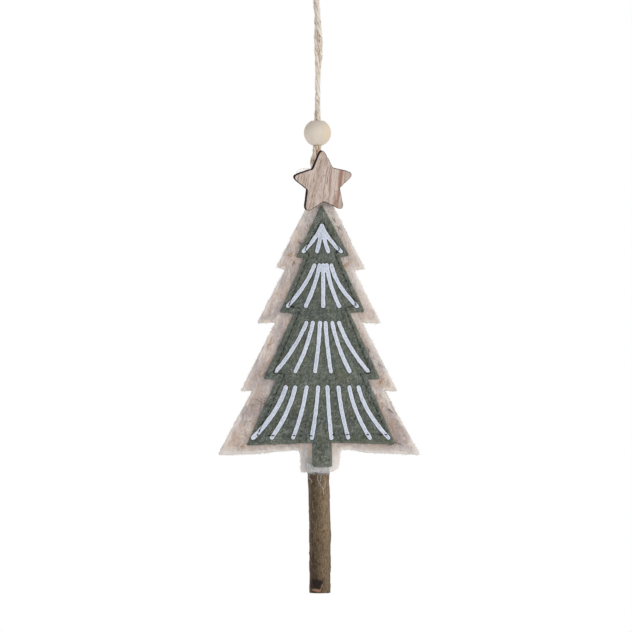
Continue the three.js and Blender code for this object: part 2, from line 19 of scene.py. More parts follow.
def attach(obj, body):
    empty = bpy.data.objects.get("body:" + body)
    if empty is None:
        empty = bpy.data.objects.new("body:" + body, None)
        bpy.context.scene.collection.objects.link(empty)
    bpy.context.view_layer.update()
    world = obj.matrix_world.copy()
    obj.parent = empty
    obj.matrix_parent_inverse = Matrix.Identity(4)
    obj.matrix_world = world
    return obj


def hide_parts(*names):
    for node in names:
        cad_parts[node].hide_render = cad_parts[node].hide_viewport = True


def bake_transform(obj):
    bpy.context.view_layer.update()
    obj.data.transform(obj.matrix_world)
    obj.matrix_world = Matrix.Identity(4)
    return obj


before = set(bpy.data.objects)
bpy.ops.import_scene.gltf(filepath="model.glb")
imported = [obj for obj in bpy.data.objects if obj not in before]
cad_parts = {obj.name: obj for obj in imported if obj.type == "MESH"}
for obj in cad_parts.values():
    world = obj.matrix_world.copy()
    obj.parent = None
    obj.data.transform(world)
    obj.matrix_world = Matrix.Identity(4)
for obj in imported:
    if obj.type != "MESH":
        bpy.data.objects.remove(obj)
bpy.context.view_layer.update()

Array = np.ndarray
Pair = tuple[float, float]
Triple = tuple[float, float, float]
Colour = Triple
Material = bpy.types.Material
Shares = tuple[float, ...]
MM = 0.001
TURN = 2 * math.pi
TINY = 1e-12
BLOCK = 1_500_000
"""Most pairs of a point and a segment that are worked out at once."""
LOG = logging.getLogger("ornament")


class Body(Enum):
    """The CAD bodies that pieces ride on."""

    BEAD = "bead"
    TREE = "tree"


class Slot(Enum):
    """The record's material slots."""

    NATURAL_FELT = "natural_felt"
    GREEN_FELT = "green_felt"
    WADDING = "wadding"
    INK = "white_ink"
    STAR_WOOD = "star_wood"
    BEAD_WOOD = "bead_wood"
    BARK = "bark"
    JUTE = "jute"


class Side(Enum):
    """Which way a layer faces from the ornament's middle plane, as the sign of its Y."""

    FRONT = -1
    BACK = 1


def linear(colour: Colour) -> tuple[float, float, float, float]:
    """Scene-linear value of a display colour given from 0 to 255, by the usual curve of screens."""
    share = np.asarray(colour, float) / 255
    return (*np.where(share <= 0.04045, share / 12.92, ((share + 0.055) / 1.055) ** 2.4).tolist(), 1.0)


def smoothstep(value: Array, low: float, high: float) -> Array:
    """Rises from 0 at low to 1 at high as 3t^2 - 2t^3."""
    share = np.clip((value - low) / (high - low), 0, 1)
    return share * share * (3 - 2 * share)


def unit(vectors: Array) -> Array:
    """Vectors scaled to a length of 1."""
    return vectors / np.maximum(np.linalg.norm(vectors, axis=-1, keepdims=True), TINY)


def noise(points: Array, size: float, seed: int) -> Array:
    """Smooth noise: random numbers on a cubic lattice, blended by smoothstep inside each cell.

    Args:
        points: Places, (n, 2) or (n, 3), in the units of size.
        size: Edge of a lattice cell.
        seed: Picks the random numbers.

    Returns:
        One value from -1 to 1 for each point.
    """
    side = 32
    table = np.random.default_rng(seed).uniform(-1, 1, (side, side, side))
    scaled = np.zeros((len(points), 3))
    scaled[:, : points.shape[1]] = np.asarray(points) / size
    cell = np.floor(scaled).astype(int)
    share = scaled - cell
    share = share * share * (3 - 2 * share)
    total = np.zeros(len(scaled))
    for corner in itertools.product((0, 1), repeat=3):
        weight = np.prod(np.where(corner, share, 1 - share), axis=-1)
        x, y, z = ((cell + corner) % side).T
        total += weight * table[x, y, z]
    return total


def distance_to(points: Array, starts: Array, ends: Array) -> Array:
    """Shortest distance from each point to any of some segments: that to the nearest place on
    each, whose share of the segment is a dot product over its square, held from 0 to 1.

    Args:
        points: Places in the plane, (n, 2).
        starts: One end of each segment, (m, 2).
        ends: Its other end.

    Returns:
        One distance for each point.
    """
    along = ends - starts
    square = np.maximum((along**2).sum(1), TINY)
    nearest = []
    for block in np.array_split(points, max(1, len(points) * len(starts) // BLOCK)):
        offset = block[:, None] - starts
        share = np.clip((offset * along).sum(2) / square, 0, 1)
        nearest.append(np.sqrt(((offset - share[..., None] * along) ** 2).sum(2)).min(1))
    return np.concatenate(nearest)


def is_inside(points: Array, loop: Array) -> Array:
    """Whether each point lies in a closed loop: a ray to the left crosses it an odd number of times.

    Args:
        points: Places in the plane, (n, 2).
        loop: The loop's points, (m, 2).

    Returns:
        One truth value for each point.
    """
    (x1, z1), (x2, z2) = loop.T, np.roll(loop, -1, axis=0).T
    x, z = points[:, :1], points[:, 1:]
    crosses = (z1 > z) != (z2 > z)
    rise = np.where(z1 == z2, 1.0, z2 - z1)
    return (crosses & (x < x1 + (z - z1) * (x2 - x1) / rise)).sum(1) % 2 == 1


def depth_inside(points: Array, loop: Array) -> Array:
    """Distance inside a closed loop, negative outside it."""
    depth = distance_to(points, loop, np.roll(loop, -1, axis=0))
    return np.where(is_inside(points, loop), depth, -depth)


def run_of(line: Array) -> Array:
    """Length along a line up to each of its points."""
    return np.r_[0, np.cumsum(np.linalg.norm(np.diff(line, axis=0), axis=1))]


def on_line(line: Array, run: Array, at: Array) -> Array:
    """A line's places at some values of its run, straight between its points."""
    return np.stack([np.interp(at, run, column) for column in line.T], axis=-1)


def even_line(points: Array, step: float, closed: bool = False) -> Array:
    """Points at even steps along a line.

    Args:
        points: The line's points, (n, 2) or (n, 3).
        step: About how far apart the new ones are.
        closed: Whether the line runs back to its first point.

    Returns:
        The new points.
    """
    line = np.vstack((points, points[:1])) if closed else points
    run = run_of(line)
    count = max(2, round(run[-1] / step))
    return on_line(line, run, np.linspace(0, run[-1], count, endpoint=not closed))


def blurred(line: Array, kernel: Array) -> Array:
    """A line averaged along itself by an odd number of weights, with its ends held."""
    padded = np.pad(line, ((len(kernel) // 2,) * 2, (0, 0)), "edge")
    return np.stack([np.convolve(column, kernel / kernel.sum(), "valid") for column in padded.T], axis=1)


def sideways(arrows: Array) -> Array:
    """Arrows in the plane turned a quarter clockwise."""
    return arrows[..., ::-1] * (1, -1)


def loop_normals(loop: Array) -> Array:
    """Outward normals of an anticlockwise closed loop in the plane."""
    return sideways(unit(np.roll(loop, -1, axis=0) - np.roll(loop, 1, axis=0)))


def placed(flat: Array, level: Array) -> Array:
    """Points in space: places in the XZ plane, and a level for each, which is its Y."""
    return np.stack((flat[..., 0], level, flat[..., 1]), axis=-1)


def soft_loop(corners: Array, step: float, blur: float, wobble: float, seed: int) -> Array:
    """A cut outline: even steps round the corners, blurred by a Gaussian of the arc length so
    that every corner is round, then pushed in and out by noise along its normal.

    Args:
        corners: Corner points, anticlockwise.
        step: Spacing of the outline's points.
        blur: Standard deviation of the Gaussian.
        wobble: Height of the noise.
        seed: Picks the noise.

    Returns:
        The outline's points, (n, 2).
    """
    line = even_line(np.asarray(corners, float), step, closed=True)
    waves = np.fft.fft(line[:, 0] + 1j * line[:, 1])
    rate = np.fft.fftfreq(len(line), step)
    smooth = np.fft.ifft(waves * np.exp(-2 * (math.pi * blur * rate) ** 2))
    loop = np.stack((smooth.real, smooth.imag), axis=1)
    push = noise(loop, 3.1, seed) + 0.6 * noise(loop, 1.2, seed + 1)
    return loop + loop_normals(loop) * (wobble * push)[:, None]


def eased_loop(corners: Array, rounds: Array, step: float) -> Array:
    """A closed outline whose corners are quadratic curves: each leaves the side before the corner
    and meets the side after it at its rounding's distance from the corner.

    Args:
        corners: Corner points, anticlockwise, (n, 2).
        rounds: Rounding of each corner.
        step: Spacing of the outline's points.

    Returns:
        The outline's points.
    """
    before = corners + unit(np.roll(corners, 1, axis=0) - corners) * rounds[:, None]
    after = corners + unit(np.roll(corners, -1, axis=0) - corners) * rounds[:, None]
    t = np.linspace(0, 1, 12)[None, :, None]
    curve = before[:, None] * (1 - t) ** 2 + corners[:, None] * 2 * t * (1 - t) + after[:, None] * t**2
    return even_line(curve.reshape(-1, 2), step, closed=True)


@dataclass
class Shape:
    """A mesh: points (n, 3) in millimetres, triangles (m, 3), and values kept for its finish."""

    points: Array
    triangles: Array
    values: dict[str, Array] = field(default_factory=dict)

    @staticmethod
    def joined(shapes: Sequence["Shape"]) -> "Shape":
        """One shape of several separate ones."""
        starts = np.cumsum([0, *(len(s.points) for s in shapes)])
        return Shape(
            np.vstack([s.points for s in shapes]),
            np.vstack([s.triangles + n for s, n in zip(shapes, starts)]),
            {k: np.concatenate([s.values[k] for s in shapes]) for k in shapes[0].values},
        )

    def outward(self) -> "Shape":
        """Turns the faces outwards, by the sign of the volume, the sum of a . (b x c).

        Returns:
            The same shape.
        """
        a, b, c = (self.points[self.triangles[:, i]] for i in range(3))
        if (a * np.cross(b, c)).sum() < 0:
            self.triangles = self.triangles[:, ::-1]
        return self

    def piece(
        self,
        name: str,
        material: Material,
        slot: Slot | None,
        body: Body | None = Body.TREE,
        replaces: Sequence[str] = (),
        sharp: float = 180,
    ) -> bpy.types.Object:
        """Writes the shape into a Blender object that rides on a body.

        Args:
            name: The piece's name.
            material: Its finish.
            slot: The record's material slot, or None where it has none; not used.
            body: The body it rides on, or None where it rides on none.
            replaces: CAD nodes that it stands for.
            sharp: Edges that turn more than this, in degrees, stay sharp.

        Returns:
            The new object.
        """
        mesh = bpy.data.meshes.new(name)
        count = len(self.triangles)
        mesh.vertices.add(len(self.points))
        mesh.vertices.foreach_set("co", (self.points * MM).astype(np.float32).ravel())
        mesh.loops.add(count * 3)
        mesh.loops.foreach_set("vertex_index", self.triangles.astype(np.int32).ravel())
        mesh.polygons.add(count)
        mesh.polygons.foreach_set("loop_start", np.arange(0, count * 3, 3, dtype=np.int32))
        mesh.update(calc_edges=True)
        mesh.polygons.foreach_set("use_smooth", np.ones(count, bool))
        for key, value in self.values.items():
            kind = "FLOAT_VECTOR" if value.ndim == 2 else "FLOAT"
            layer = mesh.attributes.new(key, kind, "POINT")
            target = "vector" if value.ndim == 2 else "value"
            layer.data.foreach_set(target, value.astype(np.float32).ravel())
        if sharp < 180:
            mesh.set_sharp_from_angle(angle=math.radians(sharp))
        mesh.materials.append(material)
        made = bpy.data.objects.new(name, mesh)
        bpy.context.scene.collection.objects.link(made)
        if body:
            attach(made, body.value)
        if replaces:
            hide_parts(*replaces)
        LOG.info("%s: %d triangles", name, count)
        return made


def ring_triangles(index: Array) -> Array:
    """Faces of closed tubes: two between neighbours on neighbouring rings, and a fan at each end.

    Args:
        index: Numbers of the points, (tubes, rings, sides).

    Returns:
        The triangles, (n, 3).
    """
    beside = np.roll(index, -1, axis=2)
    a, b, c, d = (i.ravel() for i in (index[:, :-1], beside[:, :-1], index[:, 1:], beside[:, 1:]))
    rows = [np.stack((a, b, d), 1), np.stack((a, d, c), 1)]
    one, other = slice(1, -1), slice(2, None)
    for hub, p, q in ((index[:, 0], other, one), (index[:, -1], one, other)):
        fan = np.broadcast_arrays(hub[:, :1], hub[:, p], hub[:, q])
        rows.append(np.stack(fan, axis=-1).reshape(-1, 3))
    return np.vstack(rows)


def tubes(
    paths: Array, radii: Array, sides: int, lean: Array, turn: Array | float = 0.0
) -> Shape:
    """Closed round tubes along many paths. A ring's point is the path's own plus the radius
    times (first * cos a + second * sin a), where first is square to the path and to lean.

    Args:
        paths: Centre lines, (m, k, 3).
        radii: Radii that broadcast to (m, k, sides).
        sides: Points of each ring.
        lean: A direction, or one for each tube, that no path runs along.
        turn: Angle that each ring is turned by, which broadcasts to (m, k).

    Returns:
        All the tubes as one shape.
    """
    along = unit(np.gradient(paths, axis=1))
    first = unit(np.cross(along, lean))
    second = np.cross(along, first)
    angle = np.arange(sides) / sides * TURN + np.asarray(turn)[..., None]
    ring = first[:, :, None] * np.cos(angle)[..., None] + second[:, :, None] * np.sin(angle)[..., None]
    points = paths[:, :, None] + ring * np.broadcast_to(radii, ring.shape[:3])[..., None]
    index = np.arange(points[..., 0].size).reshape(points.shape[:3])
    return Shape(points.reshape(-1, 3), ring_triangles(index))


@dataclass
class Patch:
    """A flat region of the XZ plane cut into triangles.

    points is (n, 2), triangles (m, 3) anticlockwise, rim its border edges with the region on
    their left, and depth how far each point lies inside the border.
    """

    points: Array
    triangles: Array
    rim: Array
    depth: Array

    @classmethod
    def cut(
        cls,
        loops: Sequence[Array],
        spacing: float,
        rings: Sequence[float],
        seed: int,
        extra: Array | None = None,
    ) -> "Patch":
        """Cuts the union of some closed outlines out of a jittered grid.

        Args:
            loops: Outlines, anticlockwise.
            spacing: Spacing of the grid.
            rings: Depths at which rows of points follow the outlines.
            seed: Picks the jitter.
            extra: More points to take in.

        Returns:
            The region.
        """
        outline = np.vstack(loops)
        ends = np.vstack([np.roll(loop, -1, axis=0) for loop in loops])
        low, high = outline.min(0), outline.max(0)
        axes = [np.arange(a, b, spacing) for a, b in zip(low, high)]
        grid = np.stack([g.ravel() for g in np.meshgrid(*axes)], axis=1)
        jitter, margin, least = 0.3, 0.4 * spacing, 0.9
        grid += np.random.default_rng(seed).uniform(-jitter, jitter, grid.shape) * spacing
        far = distance_to(grid, outline, ends) > max([*rings, 0]) + margin
        rows = [grid[far]]
        for depth in rings:
            row = np.vstack([loop - loop_normals(loop) * depth for loop in loops])
            rows.append(row[distance_to(row, outline, ends) > depth * least])
        if extra is not None:
            rows.append(extra[distance_to(extra, outline, ends) > margin])
        inner = np.vstack(rows)
        inner = inner[np.any([is_inside(inner, loop) for loop in loops], axis=0)]
        starts = np.cumsum([0, *(len(loop) for loop in loops)])
        faces = [list(range(a, b)) for a, b in zip(starts, starts[1:])]
        places = [Vector(p) for p in np.vstack((outline, inner)).tolist()]
        found = geometry.delaunay_2d_cdt(places, [], faces, 1, 1e-5)
        points = np.array([p[:] for p in found[0]])
        triangles = np.array([f[:3] for f in found[2]])
        edges = np.vstack([triangles[:, [0, 1]], triangles[:, [1, 2]], triangles[:, [2, 0]]])
        code = edges @ (len(points), 1)
        rim = edges[~np.isin(code, edges @ (1, len(points)))]
        return cls(points, triangles, rim, distance_to(points, points[rim[:, 0]], points[rim[:, 1]]))

    def rounding(self, roll: float, drop: float) -> Array:
        """How much lower a face is beside its rim: drop times a quarter circle's fall over roll."""
        inward = 1 - np.clip(self.depth / roll, 0, 1)
        return drop * (1 - np.sqrt(1 - inward**2))

    def solid(self, near: Array, far: Array, bulge: float = 0.1, steps: int = 4) -> Shape:
        """A closed sheet between two levels, with a wall that bulges as half a sine wave.

        Args:
            near: Y of each point on the face towards -Y.
            far: Y of each point on the other face.
            bulge: How far the wall's middle stands out.
            steps: Rows of quads up the wall.

        Returns:
            The sheet, with each point's depth.
        """
        count = len(self.points)
        rim_points = np.unique(self.rim)
        place = np.zeros(count, int)
        place[rim_points] = np.arange(len(rim_points))
        along = unit(self.points[self.rim[:, 1]] - self.points[self.rim[:, 0]])
        normal = np.zeros((count, 2))
        for end in (0, 1):
            np.add.at(normal, self.rim[:, end], sideways(along))
        normal = unit(normal)[rim_points]
        share = (np.arange(1, steps) / steps)[:, None]
        out = bulge * np.sin(share * math.pi)
        level = near[rim_points] * (1 - share) + far[rim_points] * share
        wall = placed(self.points[rim_points] + out[..., None] * normal, level).reshape(-1, 3)
        points = np.vstack((placed(self.points, near), placed(self.points, far), wall))
        rows = [np.arange(count)]
        rows += [2 * count + i * len(rim_points) + place for i in range(steps - 1)]
        rows += [np.arange(count) + count]
        sides = []
        for upper, lower in zip(rows, rows[1:]):
            (a, d), (b, c) = upper[self.rim].T, lower[self.rim].T
            sides += [np.stack((a, b, c), 1), np.stack((a, c, d), 1)]
        triangles = np.vstack((self.triangles, self.triangles[:, ::-1] + count, *sides))
        depth = np.concatenate((self.depth, self.depth, np.zeros(len(wall))))
        return Shape(points, triangles, {"depth": depth})

    def scatter(self, count: int, seed: int) -> Array:
        """Random places spread evenly over the region: a triangle picked by its area, and its
        corners weighed by the gaps between two sorted random numbers.

        Args:
            count: How many places.
            seed: Picks them.

        Returns:
            The places, (count, 2).
        """
        rng = np.random.default_rng(seed)
        a, b, c = (self.points[self.triangles[:, i]] for i in range(3))
        area = np.abs(np.cross(b - a, c - a))
        pick = rng.choice(len(area), count, p=area / area.sum())
        u, v = np.sort(rng.uniform(size=(2, count)), axis=0)[..., None]
        return a[pick] * u + b[pick] * (v - u) + c[pick] * (1 - v)


class Value:
    """A shader socket that takes part in Python expressions through Math nodes."""

    def __init__(self, paint: "Paint", socket: Any) -> None:
        """Wraps one output socket of a paint's node tree."""
        self.paint, self.socket = paint, socket

    def _math(self, operation: str, first: Any, second: Any = 0.0) -> "Value":
        """A Math node on two values."""
        return self.paint.node("Math", {"operation": operation}, {0: first, 1: second})

    def __add__(self, other: Any) -> "Value":
        """self + other."""
        return self._math("ADD", self, other)

    def __sub__(self, other: Any) -> "Value":
        """self - other."""
        return self._math("SUBTRACT", self, other)

    def __rsub__(self, other: Any) -> "Value":
        """other - self."""
        return self._math("SUBTRACT", other, self)

    def __mul__(self, other: Any) -> "Value":
        """self * other."""
        return self._math("MULTIPLY", self, other)

    def __truediv__(self, other: Any) -> "Value":
        """self / other."""
        return self._math("DIVIDE", self, other)

    def __abs__(self) -> "Value":
        """Its size without its sign."""
        return self._math("ABSOLUTE", self)

    __radd__, __rmul__ = __add__, __mul__

    def above(self, low: float, high: float) -> "Value":
        """Rises smoothly from 0 at low to 1 at high."""
        sockets = {"Value": self, "From Min": low, "From Max": high}
        return self.paint.node("MapRange", {"interpolation_type": "SMOOTHSTEP"}, sockets)

    def below(self, low: float, high: float) -> "Value":
        """Falls smoothly from 1 at low to 0 at high."""
        return 1 - self.above(low, high)

    def near(self, centre: float, width: float) -> "Value":
        """1 at the centre, falling smoothly to 0 at width from it."""
        return abs(self - centre).below(0.0, width)


class Paint:
    """Builds one node tree, and keeps the colour that its layers add up to."""

    def __init__(self, tree: bpy.types.NodeTree, made: Material | None = None) -> None:
        """Starts from an empty tree.

        Args:
            tree: The node tree, which is emptied.
            made: The material that it belongs to, or None for a world's tree.
        """
        self.tree, self.made = tree, made
        self.colour: Any = None
        tree.nodes.clear()

    @classmethod
    def material(cls, name: str) -> "Paint":
        """A paint for a new material.

        Args:
            name: The material's name.

        Returns:
            The paint, which keeps the material.
        """
        made = bpy.data.materials.new(name)
        made.use_nodes = True
        return cls(made.node_tree, made)

    def node(
        self, kind: str, settings: dict[str, Any], sockets: dict[Any, Any], out: Any = 0
    ) -> Value | None:
        """Adds any node.

        Args:
            kind: The node's type, without ShaderNode before it.
            settings: Its properties, set first.
            sockets: Values, or links, of its inputs by name or number.
            out: Name or number of the output that is returned.

        Returns:
            The output as a value, or None where the node has none.
        """
        made = self.tree.nodes.new(f"ShaderNode{kind}")
        for key, value in settings.items():
            setattr(made, key, value)
        for key, value in sockets.items():
            if isinstance(value, Value):
                self.tree.links.new(value.socket, made.inputs[key])
            else:
                made.inputs[key].default_value = value
        return Value(self, made.outputs[out]) if len(made.outputs) else None

    def place(self) -> Value:
        """The surface's Object coordinates."""
        return self.node("TexCoord", {}, {}, "Object")

    def kept(self, name: str, out: str = "Fac") -> Value:
        """A value that the mesh keeps for each point."""
        return self.node("Attribute", {"attribute_name": name}, {}, out)

    def vector(self, operation: str, first: Any, second: Any) -> Value:
        """A Vector Math node on two vectors."""
        return self.node("VectorMath", {"operation": operation}, {0: first, 1: second})

    def parts(self, vector: Value) -> tuple[Value, ...]:
        """X, Y and Z of a vector."""
        split = self.node("SeparateXYZ", {}, {0: vector}).socket.node
        return tuple(Value(self, socket) for socket in split.outputs)

    def joined(self, x: Any, y: Any, z: Any) -> Value:
        """A vector of three values."""
        return self.node("CombineXYZ", {}, {0: x, 1: y, 2: z})

    def laid(
        self, place: Value, size: Sequence[float], turn: float = 0.0, origin: Sequence[float] = (0, 0, 0)
    ) -> Value:
        """Coordinates counted in cells of a size in mm from an origin in mm, turned about Y."""
        sockets = {"Vector": place, "Location": [v * MM for v in origin],
                   "Rotation": (0, turn, 0), "Scale": [v * MM for v in size]}
        return self.node("Mapping", {"vector_type": "TEXTURE"}, sockets)

    def in_mm(self, place: Value, origin: Sequence[float] = (0, 0, 0), turn: float = 0.0) -> Value:
        """Coordinates counted in millimetres."""
        return self.laid(place, (1, 1, 1), turn, origin)

    def noise(self, place: Value, detail: float, rough: float, out: int = 0) -> Value:
        """Fractal noise about 0.5, one cell wide where coordinates are counted in cells."""
        sockets = {"Vector": place, "Scale": 1.0, "Detail": detail, "Roughness": rough}
        return self.node("TexNoise", {}, sockets, out)

    def grain(
        self, place: Value, size: Sequence[float], detail: float, rough: float,
        turn: float = 0.0, origin: Sequence[float] = (0, 0, 0), out: int = 0,
    ) -> Value:
        """Noise by the size of its cells in millimetres, over coordinates in metres."""
        return self.noise(self.laid(place, size, turn, origin), detail, rough, out)

    def drawn(
        self, place: Value, rate: Sequence[float], detail: float, rough: float, out: int = 0
    ) -> Value:
        """Noise by its cells per millimetre, over coordinates in millimetres."""
        return self.noise(self.vector("MULTIPLY", place, rate), detail, rough, out)

    def hairs(self, place: Value, length: float, turn: float, seed: float, width: float) -> Value:
        """Thin winding lines, where noise drawn out along them passes its middle, in clusters."""
        line = self.grain(place, (length, 1.3, 0.95), 1.0, 0.5, turn, (seed, 2 * seed, 7)).near(0.5, width)
        return line * self.grain(place, (4.5, 4.5, 4.5), 1.0, 0.5, turn, (seed, 31, seed)).above(0.42, 0.58)

    def mix(self, share: Any, first: Any, second: Any, kind: str = "MIX") -> Value:
        """A mix of two colours. Colours given as numbers are display colours from 0 to 255."""
        low, high = (c if isinstance(c, Value) else linear(c) for c in (first, second))
        return self.node("Mix", {"data_type": "RGBA", "blend_type": kind}, {0: share, 6: low, 7: high}, 2)

    def lay(self, tone: Any, share: Any) -> None:
        """Lays a tone over the colour so far, by a share."""
        self.colour = self.mix(share, self.colour, tone)

    def deepen(self, tone: Any, share: Any) -> None:
        """Lays the colour so far, multiplied by a tone, over itself, by a share."""
        self.lay(self.mix(1.0, self.colour, tone, "MULTIPLY"), share)

    def bump(self, height: Value, reach: float, strength: float = 1.0) -> Value:
        """A bumped normal from a height that counts from 0 to 1 over a reach in millimetres."""
        sockets = {"Strength": strength, "Distance": reach * MM, "Height": height}
        return self.node("Bump", {}, sockets)

    def surface(self, **sockets: Any) -> Material:
        """Ends the tree in a Principled shader of the colour so far.

        Args:
            sockets: Its other inputs, by their own names with _ for a space.

        Returns:
            The finished material.
        """
        named = {key.replace("_", " "): value for key, value in sockets.items()}
        shader = self.node("BsdfPrincipled", {}, {"Base Color": self.colour, **named})
        self.node("OutputMaterial", {}, {"Surface": shader})
        return self.made


class Tone(Enum):
    """Tones that a felt's soft areas take, as the names of its fields."""

    TINT = "tint"
    LIGHT = "light"
    DARK = "dark"


@dataclass(frozen=True)
class Zone:
    """A soft area of another tone: its middle, its reaches each way, and its strength."""

    x: float
    z: float
    across: float
    down: float
    tone: Tone
    share: float


@dataclass(frozen=True)
class FeltFinish:
    """Needled wool felt: broad patches, streaks of carded wool that fan out from above the tip,
    clumps, single hairs that wind through it, dark flecks, and a rim that light comes through."""

    name: str
    base: Colour
    patch: Colour
    tint: Colour
    mist: Colour
    light: Colour
    dark: Colour
    fleck: Colour
    rim: Colour
    broad: float = 0.6
    streaks: float = 0.5
    clouds: float = 0.2
    clumps: float = 0.22
    haired: float = 0.5
    flecks: float = 0.6
    zones: tuple[Zone, ...] = ()
    foot_wool_and_shade_tones: tuple[Colour, Colour, Colour] = ((230, 224, 218), (148, 146, 143), (232, 226, 220))
    # Tones towards the foot: white wool that comes through, left and right, and beside the middle a grey
    # that is partly wadding showing through and partly painted shade.
    """The white wool that comes through towards the foot: left, beside the middle and right."""
    frosted: float = 0.82
    frost_levels: Pair = (-214.0, -205.0)
    rim_share: float = 0.65
    rim_reach: float = 1.9
    fan_axis: float = 0.55
    fan_top: float = -70.0
    fan_reach: float = 90.0
    wander: float = 3.2
    """How far the streaks stray from their fan."""
    zone_drift: float = 14.0
    """How far the soft areas' edges stray."""

    def material(self) -> Material:
        """Builds the material. Streaks lie on coordinates that run across the fan and down.

        Returns:
            The material.
        """
        paint = Paint.material(self.name)
        place = paint.place()
        x, y, z = paint.parts(place)
        across = (x - self.fan_axis * MM) / (self.fan_top * MM - z) * (self.fan_reach * MM)
        calm = 1 - y.above(0.0, MM) * 0.55
        swirl = paint.grain(place, (5, 5, 5), 2, 0.6, out=1)
        strayed = paint.vector("MULTIPLY", swirl, (self.wander * MM,) * 3)
        bent = paint.vector("ADD", paint.joined(across, y, z), strayed)
        soft = paint.grain(place, (8, 8, 13), 3, 0.55, 0.25)
        wide = paint.grain(bent, (3.4, 3.4, 9.0), 2, 0.5, 0, (61, 0, 9))
        cloud = paint.grain(bent, (1.9, 1.9, 3.0), 4, 0.7, 0, (7, 3, 1))
        wool = paint.grain(place, (0.8, 0.8, 1.1), 3, 0.7, 0.5, (2, 9, 4))
        paint.colour = paint.mix(soft.above(0.4, 0.6), self.base, self.patch)
        paint.lay(self.tint, wide.above(0.46, 0.6) * self.broad)
        paint.lay(self.mist, wide.below(0.36, 0.5) * self.broad)
        runs = (((1.9, 2, 9.5), 40, self.tint), ((1.7, 2, 8.0), 17, self.mist),
                ((1.1, 2, 6.5), 71, self.light))
        for size, seed, tone in runs:
            streak = paint.grain(bent, size, 3, 0.6, 0, (seed, 0, 9))
            paint.lay(tone, streak.above(0.5, 0.64) * calm * self.streaks)
        x, z, drift = x / MM, z / MM, (swirl - 0.5) * self.zone_drift
        for area in self.zones:
            within = (x + drift - area.x).near(0.0, area.across)
            within = within * (z + drift - area.z).near(0.0, area.down)
            paint.lay(getattr(self, area.tone.value), within * area.share)
        paint.lay(self.light, cloud.above(0.5, 0.68) * self.clouds)
        paint.lay(self.dark, cloud.below(0.32, 0.5) * self.clouds)
        paint.lay(self.light, wool.above(0.52, 0.68) * self.clumps)
        paint.lay(self.dark, wool.below(0.34, 0.48) * self.clumps)
        strands = ((5.5, 1.5, 3.0, 0.036, self.light), (5.0, 1.75, 11.0, 0.03, self.dark),
                   (5.0, 1.3, 23.0, 0.035, self.tint), (4.2, 2.6, 37.0, 0.04, self.light))
        for length, turn, seed, width, tone in strands:
            paint.lay(tone, paint.hairs(bent, length, turn, seed, width) * self.haired)
        hair = paint.hairs(bent, 6.0, 1.9, 53.0, 0.018)
        speck = paint.grain(bent, (0.8, 0.8, 1.3), 1, 0.4, 0.9, (3, 8, 2))
        spots = paint.node("Math", {"operation": "MAXIMUM"},
                           {0: speck.above(0.76, 0.83), 1: hair * 0.6})
        paint.lay(self.fleck, spots * self.flecks)
        rim = (paint.kept("depth") + (cloud - 0.5) * 3.2).below(0.0, self.rim_reach)
        paint.lay(self.rim, rim * wide.above(0.3, 0.55) * self.rim_share)
        # Painted shade: the wool darkens in the seam's groove, where the seam pulls it in.
        paint.deepen(self.dark, paint.kept("seam") * wool.above(0.35, 0.55) * 0.45)
        # The grey beside the middle is partly the wadding showing through and partly painted shade on the
        # left slope of the twig's sleeve.
        foot_wool_and_shade = paint.mix(x.above(-4.0, 8.0), self.foot_wool_and_shade_tones[0], self.foot_wool_and_shade_tones[2])
        foot_wool_and_shade = paint.mix((x + drift * 0.4 + 3.6).near(0.0, 4.2) * 0.85, foot_wool_and_shade, self.foot_wool_and_shade_tones[1])
        paint.lay(foot_wool_and_shade, (z + (cloud - 0.5) * 8).below(*self.frost_levels) * self.frosted)
        fine = paint.grain(place, (0.35, 0.35, 0.35), 2, 0.7)
        height = wool * self.clumps * 2.0 + fine * 0.3 + cloud * 0.7
        return paint.surface(
            Roughness=0.95, Normal=paint.bump(height, 0.35, 0.6),
            Sheen_Weight=0.15, Sheen_Roughness=0.6, Specular_IOR_Level=0.12,
        )


@dataclass(frozen=True)
class FibreFinish:
    """Loose fibres and thread: a tone that drifts from one place to the next."""

    name: str
    base: Colour
    other: Colour
    size: float = 2.0
    roughness: float = 0.9

    def material(self) -> Material:
        """Builds the material.

        Returns:
            The material.
        """
        paint = Paint.material(self.name)
        drift = paint.grain(paint.place(), (self.size,) * 3, 2, 0.6)
        fine = paint.grain(paint.place(), (0.2, 0.2, 0.2), 2, 0.6)
        paint.colour = paint.mix(drift.above(0.4, 0.6), self.base, self.other)
        normal = paint.bump(fine, 0.05, 0.5)
        return paint.surface(Roughness=self.roughness, Normal=normal, Specular_IOR_Level=0.2)


@dataclass(frozen=True)
class InkFinish:
    """Thick white print: a dark band round its foot that is ink-soaked wool and painted contact shadow, its
    rims are bright, the felt's texture shows through its middle, and the seam has cut into it."""

    rim: Colour = (232, 237, 246)
    middle: Colour = (213, 219, 230)
    thin: Colour = (176, 184, 198)
    # beside: ink-soaked wool and painted contact shadow round the ink's foot.
    beside: Colour = (44, 50, 45)
    cut: Colour = (78, 86, 81)
    skirt: float = 0.24

    def material(self) -> Material:
        """Builds the material.

        Returns:
            The material.
        """
        paint = Paint.material("raised white ink")
        weave = paint.grain(paint.place(), (0.45, 0.45, 0.6), 3, 0.65, 0.6)
        depth = paint.kept("depth")
        paint.colour = paint.mix(weave.above(0.38, 0.56), self.thin, self.middle)
        paint.lay(self.rim, weave.above(0.56, 0.7) * 0.8)
        paint.lay(self.rim, depth.below(self.skirt + 0.15, self.skirt + 0.5) * 0.75)
        paint.lay(self.cut, paint.kept("seam").above(0.55, 0.95) * 0.85)
        # Painted contact shadow, with ink-soaked wool, in the thin skirt round the ink's foot.
        paint.lay(self.beside, depth.below(self.skirt - 0.06, self.skirt + 0.01))
        return paint.surface(Roughness=0.55, Normal=paint.bump(weave, 0.1, 0.6), Specular_IOR_Level=0.3)


